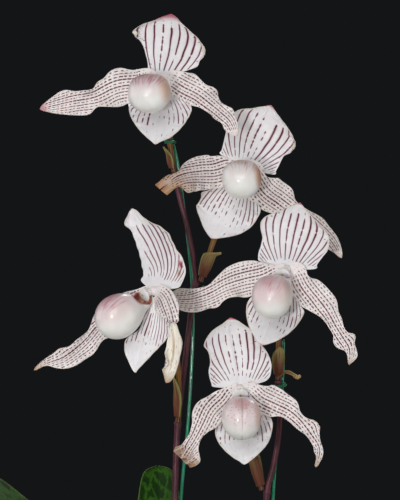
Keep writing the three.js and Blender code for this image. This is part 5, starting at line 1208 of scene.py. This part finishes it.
# Living petal tissue: thin wet cells that let light through, so it looks soft and white. Dark
# sap fills the veins and shows as crimson ink, broken up into beads about beads_mm long:
# beaded is 0 for irregular breaks and 1 for even beads. Fine dots crowd near the margin.
def petal_tissue(name, white, shade, ink_tone, ink_edge, beads_mm, bead_low, bead_high, width, dots, beaded):
    made, tree = new_material(name)
    drawn = add(tree, "Attribute", attribute_name="drawn", out=1)
    drawn_parts = add(tree, "SeparateXYZ", {0: drawn}).node
    line, run, ink = (drawn_parts.outputs[k] for k in range(3))
    stain = add(tree, "Attribute", attribute_name="stain", out=1)
    stain_parts = add(tree, "SeparateXYZ", {0: stain}).node
    tan, blush, side = (stain_parts.outputs[k] for k in range(3))
    place = add(tree, "TexCoord", out=3)

    slow = add(tree, "CombineXYZ", {0: add(tree, "Math", {0: line, 1: 0.5}, operation="MULTIPLY"),
                                    1: add(tree, "Math", {0: run, 1: 0.1}, operation="MULTIPLY")})
    wander = add(tree, "TexNoise", {"Vector": slow, "Scale": 1, "Detail": 1})
    sway = add(tree, "MapRange", {0: wander, 1: 0.25, 2: 0.75, 3: -VEIN_SWAY, 4: VEIN_SWAY})
    swayed = add(tree, "Math", {0: line, 1: sway}, operation="ADD")
    index = add(tree, "Math", {0: swayed}, operation="ROUND")
    gap = add(tree, "Math", {0: add(tree, "Math", {0: swayed, 1: index}, operation="SUBTRACT")},
              operation="ABSOLUTE")
    own_row = add(tree, "Math", {0: index, 1: 7.31}, operation="MULTIPLY")
    bead_run = add(tree, "Math", {0: run, 1: 1 / beads_mm}, operation="MULTIPLY")
    bead_place = add(tree, "CombineXYZ", {0: own_row, 1: bead_run})
    loose = add(tree, "TexNoise", {"Vector": bead_place, "Scale": 1, "Detail": 1})
    beat = add(tree, "Math", {0: bead_run, 1: math.pi, 2: own_row}, operation="MULTIPLY_ADD")
    late = add(tree, "Math", {0: loose, 1: 7.0, 2: beat}, operation="MULTIPLY_ADD")
    tick = add(tree, "MapRange", {0: add(tree, "Math", {0: late}, operation="SINE"), 1: -1, 2: 1, 3: 0.36,
                                  4: 0.66})
    bead = add(tree, "Mix", {0: float(beaded), 2: loose, 3: tick}, data_type="FLOAT")
    odd = add(tree, "Math", {0: add(tree, "Math", {0: index}, operation="ABSOLUTE"), 1: 2},
              operation="MODULO")
    lighter = add(tree, "MapRange", {0: odd, 1: 0, 2: 1, 3: 1.0, 4: 0.78})
    strength = add(tree, "Math", {0: ink, 1: lighter}, operation="MULTIPLY")
    needed = add(tree, "MapRange", {0: strength, 1: 0, 2: 1, 3: bead_high, 4: bead_low}, clamp=False)
    over = add(tree, "Math", {0: bead, 1: needed}, operation="SUBTRACT")
    own_width = add(tree, "MapRange", {0: add(tree, "TexWhiteNoise", {"W": index}, noise_dimensions="1D"),
                                       1: 0, 2: 1, 3: 0.7 * width, 4: 1.15 * width})
    swell = add(tree, "MapRange", {0: over, 1: 0.0, 2: 0.13, 3: 0.0, 4: 1.0})
    wide = add(tree, "Math", {0: swell, 1: own_width, 2: 0.001}, operation="MULTIPLY_ADD")
    inside = add(tree, "Math", {0: gap, 1: wide}, operation="DIVIDE")
    stroke = add(tree, "MapRange", {0: inside, 1: 1.15, 2: 0.7, 3: 0.0, 4: 1.0},
                 interpolation_type="SMOOTHSTEP")
    halo = add(tree, "MapRange", {0: inside, 1: 2.4, 2: 0.9, 3: 0.0, 4: 0.4}, interpolation_type="SMOOTHSTEP")

    dot_place = add(tree, "CombineXYZ", {0: add(tree, "Math", {0: line, 1: 1.3}, operation="MULTIPLY"),
                                         1: add(tree, "Math", {0: run, 1: 0.55}, operation="MULTIPLY")})
    grains = add(tree, "TexVoronoi", {"Vector": dot_place, "Scale": 1, "Randomness": 0.9})
    near_margin = add(tree, "MapRange", {0: side, 1: 0.55, 2: 0.85, 3: 0.0, 4: dots})
    inner = add(tree, "MapRange", {0: side, 1: 0.97, 2: 0.92, 3: 0.0, 4: 1.0})
    dot_here = add(tree, "Math", {0: near_margin, 1: inner}, operation="MULTIPLY")
    dot_size = add(tree, "Math", {0: dot_here, 1: add(tree, "Math", {0: ink, 1: 1}, operation="MINIMUM")},
                   operation="MULTIPLY")
    dot = add(tree, "MapRange", {0: add(tree, "Math", {0: dot_size, 1: grains}, operation="SUBTRACT"),
                                 1: 0.0, 2: 0.1, 3: 0.0, 4: 0.9})
    inked = add(tree, "Math", {0: add(tree, "Math", {0: stroke, 1: inner}, operation="MULTIPLY"), 1: dot},
                operation="MAXIMUM")

    cloud = add(tree, "TexNoise", {"Vector": place, "Scale": 260, "Detail": 3})
    tissue = add(tree, "Mix", {0: add(tree, "MapRange", {0: cloud, 1: 0.35, 2: 0.7, 3: 0.0, 4: 0.6}),
                               6: white,
                               7: shade}, out=2, data_type="RGBA")
    tanned = add(tree, "Mix", {0: tan, 6: tissue, 7: "#a8814f"}, out=2, data_type="RGBA")
    blushed = add(tree, "Mix", {0: blush, 6: tanned, 7: "#b02450"}, out=2, data_type="RGBA")
    haloed = add(tree, "Mix", {0: add(tree, "Math", {0: halo, 1: inner}, operation="MULTIPLY"), 6: blushed,
                               7: ink_edge}, out=2, data_type="RGBA")
    final = add(tree, "Mix", {0: inked, 6: haloed, 7: ink_tone}, out=2, data_type="RGBA")
    sugar = add(tree, "TexNoise", {"Vector": place, "Scale": 1400, "Detail": 2})
    bump = add(tree, "Bump", {"Height": sugar, "Strength": 0.12, "Distance": 0.0002})
    skin = add(tree, "BsdfPrincipled", {"Base Color": final, "Roughness": 0.45, "Normal": bump, "IOR": 1.36,
                                        "Subsurface Weight": 0.2, "Subsurface Scale": 0.0009,
                                        "Subsurface Radius": (1.0, 0.7, 0.6)})
    add(tree, "OutputMaterial", {0: skin})
    return made


sepal_face = petal_tissue("sepal_tissue_face", "#eeecee", "#e2dee3", "#560526", "#a8235c", beads_mm=3.0,
                          bead_low=0.2, bead_high=0.62, width=0.115, dots=0.25, beaded=0.25)
petal_face = petal_tissue("petal_tissue_face", "#f0eae8", "#e6dbdb", "#43071b", "#b04e68", beads_mm=1.3,
                          bead_low=0.34, bead_high=0.67, width=0.185, dots=0.36, beaded=0.8)
tissue_back = petal_tissue("petal_tissue_reverse", "#f1ede3", "#e6dfcc", "#a98a8e", "#d8c4bd", beads_mm=2.4,
                           bead_low=0.5, bead_high=0.75, width=0.1, dots=0.0, beaded=0)

PARTS = (
    ("dorsal", SEPAL_CUP, sepal_face),
    ("synsepal", SYNSEPAL_CUP, sepal_face),
    ("petal_left", PETAL_CUP, petal_face),
    ("petal_right", PETAL_CUP, petal_face),
)
NOT_SHAPE = ("middle", "low", "high", "strength", "blush", "blush_from", "tan", "tan_from", "marks", "bare")
for n, flower in enumerate(FLOWERS, 1):
    for k, (part, cup, tissue) in enumerate(PARTS):
        spec = flower[part]
        is_petal = part.startswith("petal")
        shape = dict(face=flower["face"], cup=lambda t, c=cup: run_of(c, t), phase=0.0, thickness=0.8,
                     thin=0.4,
                     relief=0.05, lines=9, crease=0.35, frill=0.2, frills=8, heel=0.03, rows=96, cols=48)
        if is_petal:
            shape.update(frill=0.5, frills=6.5, heel=0.05, rows=120, cols=36)
        else:
            shape.update(tip=0.1)
        shape.update({key: value for key, value in spec.items() if key not in NOT_SHAPE})
        front, back, S, T, length = blade(**shape)
        heart = np.array(flower["heart"], float)
        points, faces, kinds = closed_sheets(front + heart, back + heart)
        side = np.abs(S)
        run = T * length + PATTERN_SHIFT * (4 * n + k)
        half = np.where(S > 0, run_of(shape["width"], T), run_of(shape.get("other") or shape["width"], T))
        if is_petal:
            line = np.sign(S) * side * half / run_of(PETAL_ROWS, T)
            ink = (0.25 + 0.75 * ease((T - 0.03) / 0.14)) * ease((1.0 - T) / 0.1)
            ink = ink * (1 - 0.4 * ease((side - 0.6) / 0.3))
            speckled = np.maximum(side, 0.87 * (1 - ease((T - 0.04) / 0.16)))
        else:
            widest = 0.5 * (half[:, 0].max() + half[:, -1].max())
            line = S * half / (widest * run_of(VEIN_FAN, T)) * shape["lines"] / 2
            middle, low, high = spec.get("middle", 0.5), spec.get("low", 0.08), spec.get("high", 0.85)
            fade = 0.12 if part == "dorsal" else 0.35
            high = high + fade / 2 - 0.06
            ink = spec.get("strength", 1.0) * (middle + (1 - middle) * ease(1.5 * side))
            ink = ink * ease((T - low - 0.07 * (1 - side) ** 1.5) / 0.1)
            ink = ink * ease((high + 0.05 * side - T) / fade)
            bare_from, bare_to = spec.get("bare", (-3, -2))
            ink = ink * ease((S - bare_from) / (bare_to - bare_from))
            speckled = side
        tan_from, blush_from = spec.get("tan_from", 0.93), spec.get("blush_from", 0.965)
        tan = spec.get("tan", 0.35 if is_petal else 0.0) * ease((T - tan_from) / (1 - tan_from))
        tan = tan * (0.6 + 0.4 * side)
        tan = np.maximum(tan, 0.35 * ease((side - 0.94) / 0.06) * ease(3 * T - 0.6))
        usual = 0.15 if is_petal else 0.9 if part == "dorsal" else 0.25
        blush = spec.get("blush", usual) * ease((T - blush_from) / (1 - blush_from))
        for t_at, s_at, t_size, s_size, more_tan, more_blush in spec.get("marks", ()):
            mark = np.exp(-((T - t_at) / t_size) ** 2 - ((S - s_at) / s_size) ** 2)
            tan, blush = np.maximum(tan, more_tan * mark), np.maximum(blush, more_blush * mark)
        drawn = np.stack([line, run, ink], 2).reshape(-1, 3)
        stain = np.stack([tan, blush, speckled], 2).reshape(-1, 3)
        blade_piece = make_mesh(f"flower_{n}_{part}_veined", points, faces, [tissue, tissue_back], kinds,
                                {"drawn": np.vstack([drawn, drawn]), "stain": np.vstack([stain, stain])})
        settle(blade_piece, "petal", f"flower_{n}_{part}")


# Pouches
# The lip petal is blown up into a slipper: a smooth waxy shell with a turned-in mouth. It is
# glossy white, flushed and streaked with pink at the top, and tan along the top edge; the tan
# down the side away from the flash lamp is painted shade.
# Waxed petal skin: thick and smooth, so it is glossy and shows clear highlights.
pouch_skin, tree = new_material("pouch_waxy")
spread = add(tree, "Attribute", attribute_name="place", out=1)
apart = add(tree, "SeparateXYZ", {0: spread}).node
round_way, reach = apart.outputs[0], apart.outputs[1]
tint_and_shade = add(tree, "Attribute", attribute_name="tint_and_shade", out=1)
tint_and_shade_parts = add(tree, "SeparateXYZ", {0: tint_and_shade}).node
wash_much, tan_and_side_shade, seam = (tint_and_shade_parts.outputs[k] for k in range(3))
sprinkle = add(tree, "Attribute", attribute_name="sprinkle", out=1)
sprinkle_parts = add(tree, "SeparateXYZ", {0: sprinkle}).node
streak_much, fleck_much, rim_much = (sprinkle_parts.outputs[k] for k in range(3))
place = add(tree, "TexCoord", out=3)
cloud = add(tree, "TexNoise", {"Vector": place, "Scale": 160, "Detail": 4})
wax = add(tree, "Mix", {0: add(tree, "MapRange", {0: cloud, 1: 0.3, 2: 0.7, 3: 0.0, 4: 0.7}), 6: "#f3f2ef",
                        7: "#eae7e1"}, out=2, data_type="RGBA")
washed = add(tree, "Mix", {0: wash_much, 6: wax, 7: "#dba9b6"}, out=2, data_type="RGBA")
streak_place = add(tree, "CombineXYZ", {0: add(tree, "Math", {0: round_way, 1: 64}, operation="MULTIPLY"),
                                        1: add(tree, "Math", {0: reach, 1: 0.1}, operation="MULTIPLY")})
streak = add(tree, "TexNoise", {"Vector": streak_place, "Scale": 1, "Detail": 2})
streak_much = add(tree, "Math", {0: streak_much, 1: 0.38, 2: streak}, operation="MULTIPLY_ADD")
streak_mask = add(tree, "MapRange", {0: streak_much, 1: 0.72, 2: 0.95, 3: 0.0, 4: 0.6})
streaked = add(tree, "Mix", {0: streak_mask, 6: washed, 7: "#c04a70"}, out=2, data_type="RGBA")
grains = add(tree, "TexVoronoi", {"Vector": place, "Scale": 620, "Randomness": 1.0})
fleck_size = add(tree, "Math", {0: fleck_much, 1: 0.34}, operation="MULTIPLY")
fleck_here = add(tree, "Math", {0: fleck_size, 1: grains}, operation="SUBTRACT")
fleck_mask = add(tree, "MapRange", {0: fleck_here, 1: 0.0, 2: 0.14, 3: 0.0, 4: 0.75})
flecked = add(tree, "Mix", {0: fleck_mask, 6: streaked, 7: "#a04a66"}, out=2, data_type="RGBA")
# Painted shade and real tan: the tan down the side away from the flash lamp stands for shade, the tan along
# the top is the pouch's own colour.
tanned = add(tree, "Mix", {0: tan_and_side_shade, 6: flecked, 7: "#cf946a"}, out=2, data_type="RGBA")
rimmed = add(tree, "Mix", {0: rim_much, 6: tanned, 7: "#b83458"}, out=2, data_type="RGBA")
seamed = add(tree, "Mix", {0: seam, 6: rimmed, 7: "#9c8f90"}, out=2, data_type="RGBA")
bump = add(tree, "Bump", {"Height": cloud, "Strength": 0.08, "Distance": 0.0006})
skin = add(tree, "BsdfPrincipled", {"Base Color": seamed, "Roughness": 0.3, "Normal": bump, "IOR": 1.42,
                                    "Subsurface Weight": 0.2, "Subsurface Scale": 0.0015,
                                    "Subsurface Radius": (1.0, 0.75, 0.65), "Coat Weight": 0.25,
                                    "Coat Roughness": 0.15})
add(tree, "OutputMaterial", {0: skin})

# The lining is the same skin without wax: cream, with crimson flecks in the folds of the mouth.
pouch_lining, tree = new_material("pouch_lining")
place = add(tree, "TexCoord", out=3)
sprinkle = add(tree, "Attribute", attribute_name="sprinkle", out=1)
rim_much = add(tree, "SeparateXYZ", {0: sprinkle}, out=2)
cloud = add(tree, "TexNoise", {"Vector": place, "Scale": 300, "Detail": 4})
cream = add(tree, "ValToRGB", {0: cloud}, stops=[(0.3, "#e8d5b0"), (0.7, "#d8a878")])
crimson = add(tree, "Mix", {0: add(tree, "MapRange", {0: cloud, 1: 0.4, 2: 0.6, 3: 0.1, 4: 0.9}), 6: cream,
                            7: "#b02a48"}, out=2, data_type="RGBA")
lined = add(tree, "Mix", {0: rim_much, 6: cream, 7: crimson}, out=2, data_type="RGBA")
skin = add(tree, "BsdfPrincipled", {"Base Color": lined, "Roughness": 0.4, "IOR": 1.4})
add(tree, "OutputMaterial", {0: skin})

POUCH_WALL = 1.0
POUCH_RINGS = 48
POUCH_SPOKES = 72
for n, flower in enumerate(FLOWERS, 1):
    spec = flower["pouch"]
    wide, high, toe = spec["radii"]
    centre = np.array(spec["centre"], float)
    along = unit(centre)
    back = np.linalg.norm(centre) - SEAT_REACH + 0.5
    mouth = 0.45 * back
    up = unit(np.array([0, 0, 1.0]) - along * along[2])
    right = np.cross(along, up)
    rings, spokes = POUCH_RINGS, POUCH_SPOKES
    angle = np.linspace(0, 2 * np.pi, spokes, endpoint=False)[None, :]
    low = ((1 - np.cos(angle - spec.get("roll", 0))) / 2) ** 0.8
    lip = -mouth * (1 - low) - back * low
    power = 2.0 + spec.get("square", 0.45) * ease(np.cos(angle) + 0.2)
    corner = (np.abs(np.cos(angle)) ** power + np.abs(np.sin(angle)) ** power) ** (-1 / power)

    def shell(inset, depth):
        """The pouch's wall, inset from its outside: points, how far forward each is, and its girth."""
        reach = toe - inset - (toe - inset - lip) * depth
        behind = np.maximum(0, -reach)
        roof = np.maximum(0.3, 1 - 0.72 * (behind / (0.6 * back)) ** 2.2)
        under = 1 - 0.76 * (behind / back) ** 1.7
        rest = roof * (1 - low) + under * low
        girth = np.where(reach > 0, np.sqrt(np.clip(1 - (reach / (toe - inset)) ** 2, 0, 1)), rest)
        sideways = (wide - inset) * girth * corner * np.sin(angle)
        upward = (high - inset) * girth * corner * np.cos(angle)
        crease = 1 - 0.04 * spec.get("seam", 0.25) * np.exp(-(np.sin(angle) / 0.1) ** 2) * (girth > 0.2)
        point = centre + along * reach[..., None] + right * (sideways * crease)[..., None]
        return point + up * (upward * crease)[..., None], reach, girth

    depth = (np.linspace(0.004, 1, rings) ** 1.5)[:, None]
    outer, reach, girth = shell(0, depth)
    inner, _, _ = shell(POUCH_WALL, depth)
    rolled = 0.5 * (outer[-1] + inner[-1]) + unit(outer[-1] - outer[-3]) * 0.45
    grid = np.concatenate([outer, rolled[None], inner[::-1]])
    points = np.vstack([grid.reshape(-1, 3), [centre + along * toe], [centre + along * (toe - POUCH_WALL)]])
    rows = len(grid)
    faces = wrap(rows, spokes)
    kinds = [0] * (rings * spokes) + [1] * (len(faces) - rings * spokes)
    for k in range(spokes):
        m = (k + 1) % spokes
        faces += [[rows * spokes, k, m], [rows * spokes + 1, (rows - 1) * spokes + m,
                                          (rows - 1) * spokes + k]]
        kinds += [0, 1]
    upright = np.cos(angle) * girth
    away_from_lamp = -np.sin(angle) * girth
    high_up = ease((upright + 0.15) / 0.9)
    wash = spec["wash"] * high_up
    streaks = spec["streaks"] * ease((upright - 0.3) / 0.6)
    flecks = spec.get("flecks", 0.25) * ease((upright + 0.2) / 0.8)
    rim = spec["rim"] * ease(1.2 - (reach - lip) / 1.6) * ease(np.cos(angle) + 0.3)
    rim = np.maximum(rim, spec["rim"] * 0.3 * ease((upright - 0.85) / 0.15))
    # Painted shade: tan down the pouch's side away from the flash lamp, where the shell is in shade. The
    # weaker tan along the top, on the next line, is the pouch's own colour.
    tan = spec["tan"] * 0.85 * ease((away_from_lamp + 0.25 * upright - 0.62) / 0.36) * ease((reach + 9) / 4)
    tan = np.maximum(tan, spec["tan"] * 0.3 * ease((upright - 0.88) / 0.1))
    seam = spec.get("seam", 0.0) * 0.6 * np.exp(-(np.sin(angle) / 0.04) ** 2) * (girth > 0.1)

    # The outside, the rolled lip and the lining follow each other, so each value is laid out
    # and then back again.
    tint_and_shade = np.stack([wash, tan, seam + 0 * wash], 2)
    tint_and_shade = np.concatenate([tint_and_shade, tint_and_shade[-1:], tint_and_shade[::-1]]).reshape(-1, 3)
    sprinkle = np.stack([streaks, flecks, rim], 2)
    lips = sprinkle[::-1].copy()
    lips[..., 2] = np.maximum(lips[..., 2], spec["rim"] * ease(1.4 - (reach[::-1] - lip) / 9))
    sprinkle = np.concatenate([sprinkle, sprinkle[-1:], lips]).reshape(-1, 3)
    place = np.stack([angle / (2 * np.pi) + 0 * reach, reach, upright], 2)
    place = np.concatenate([place, place[-1:], place[::-1]]).reshape(-1, 3)
    ends = [(0, 0, 0), (0, 0, 0)]
    heart = np.array(flower["heart"], float)
    pouch = make_mesh(f"flower_{n}_pouch_waxy", points + heart, faces, [pouch_skin, pouch_lining], kinds,
                      {"place": np.vstack([place, ends]), "tint_and_shade": np.vstack([tint_and_shade, ends]),
                       "sprinkle": np.vstack([sprinkle, ends])})
    settle(pouch, "pouch", f"flower_{n}_pouch")


# Columns
# A short white stalk over the pouch's mouth that ends in a domed downy shield with a notch
# above and a small yellow pit in its middle, and carries the pollen behind it.
column_skin, tree = new_material("column_shield_downy")
spread = add(tree, "Attribute", attribute_name="place", out=1)
from_pit = add(tree, "SeparateXYZ", {0: spread}, out=0)
place = add(tree, "TexCoord", out=3)
cloud = add(tree, "TexNoise", {"Vector": place, "Scale": 700, "Detail": 3})
white = add(tree, "ValToRGB", {0: cloud}, stops=[(0.3, "#f0eeee"), (0.7, "#e6e2e3")])
uneven = add(tree, "Math", {0: from_pit, 1: add(tree, "MapRange",
                                                {0: cloud, 1: 0.3, 2: 0.7, 3: -0.3, 4: 0.3})},
             operation="ADD")
yellowed = add(tree, "Mix", {0: add(tree, "MapRange", {0: uneven, 1: 1.5, 2: 0.7, 3: 0.0, 4: 0.75}), 6: white,
                             7: "#d9c06a"}, out=2, data_type="RGBA")
pitted = add(tree, "Mix", {0: add(tree, "MapRange", {0: uneven, 1: 0.55, 2: 0.3, 3: 0.0, 4: 0.8}),
                           6: yellowed,
                           7: "#8a6a3a"}, out=2, data_type="RGBA")
bump = add(tree, "Bump", {"Height": cloud, "Strength": 0.3, "Distance": 0.0003})
skin = add(tree, "BsdfPrincipled", {"Base Color": pitted, "Roughness": 0.5, "Normal": bump, "IOR": 1.4,
                                    "Subsurface Weight": 0.2, "Subsurface Scale": 0.001})
add(tree, "OutputMaterial", {0: skin})

# The column's outline as it is turned: how far along, and the radius there.
COLUMN = [(0, 0.2), (0.1, 1.7), (0.7, 1.9), (1.7, 2.0), (2.4, 2.1), (3.0, 2.4), (3.5, 3.3), (3.9, 4.1),
          (4.2, 4.5),
          (4.5, 4.6), (4.9, 4.3), (5.3, 3.5), (5.6, 2.5), (5.8, 1.5), (5.9, 0.5)]
for n, flower in enumerate(FLOWERS, 1):
    lean = unit(unit(flower["pouch"]["centre"]) + np.array([0, 0, 0.14]))
    start = lean * (SEAT_REACH + 0.2) + (0, 0, 0.9) + np.array(flower["heart"])
    up = unit(np.array([0, 0, 1.0]) - lean * lean[2])
    right = np.cross(lean, up)
    stations = np.linspace(0, 1, 60)
    profile = np.array(COLUMN)
    where = np.interp(stations, np.linspace(0, 1, len(profile)), profile[:, 0])
    radius = np.interp(stations, np.linspace(0, 1, len(profile)), profile[:, 1])
    angle = np.linspace(0, 2 * np.pi, 40, endpoint=False)
    shield = ease((where - 3.4) / 0.6)[:, None]
    notch = np.exp(-(angle / 0.3) ** 2)[None]
    outline = 1 - 0.12 * shield * notch - 0.12 * shield * np.abs(np.cos(angle))[None]
    r = radius[:, None] * outline
    groove = 0.3 * shield * np.exp(-(r / 0.7) ** 2) * ease((where - 4.8) / 0.8)[:, None]
    grid = (start + lean * (where[:, None] - groove)[..., None] + right * (r * np.sin(angle)[None])[..., None]
            + up * (r * np.cos(angle)[None])[..., None])
    centre = start + lean * where[:, None]
    points, faces = capped(grid, centre, np.tile(lean, (60, 1)), 0.02)
    out = unit(right * np.sin(angle)[None, :, None] + up * np.cos(angle)[None, :, None] + 0 * grid)
    share = np.tile(stations[:, None], (1, 40))
    from_pit = r + 9 * (1 - ease((where - 4.6) / 0.7))[:, None]
    values = np.stack([from_pit, share, 0 * share], 2).reshape(-1, 3)
    points, faces, hair_at = with_hairs(points, faces, grid[30:50], out[30:50], 160, 0.35, 0.03)
    hair_values = np.stack([9.0 + 0.0 * hair_at[:, 0], stations[30 + hair_at[:, 0]], 0.0 * hair_at[:, 0]], 1)
    column = make_mesh(f"flower_{n}_column_shield", points, faces, [column_skin],
                       values={"place": np.vstack([values, [(9, 0, 0), (0, 1, 0)], hair_values])})
    settle(column, "column", f"flower_{n}_column")
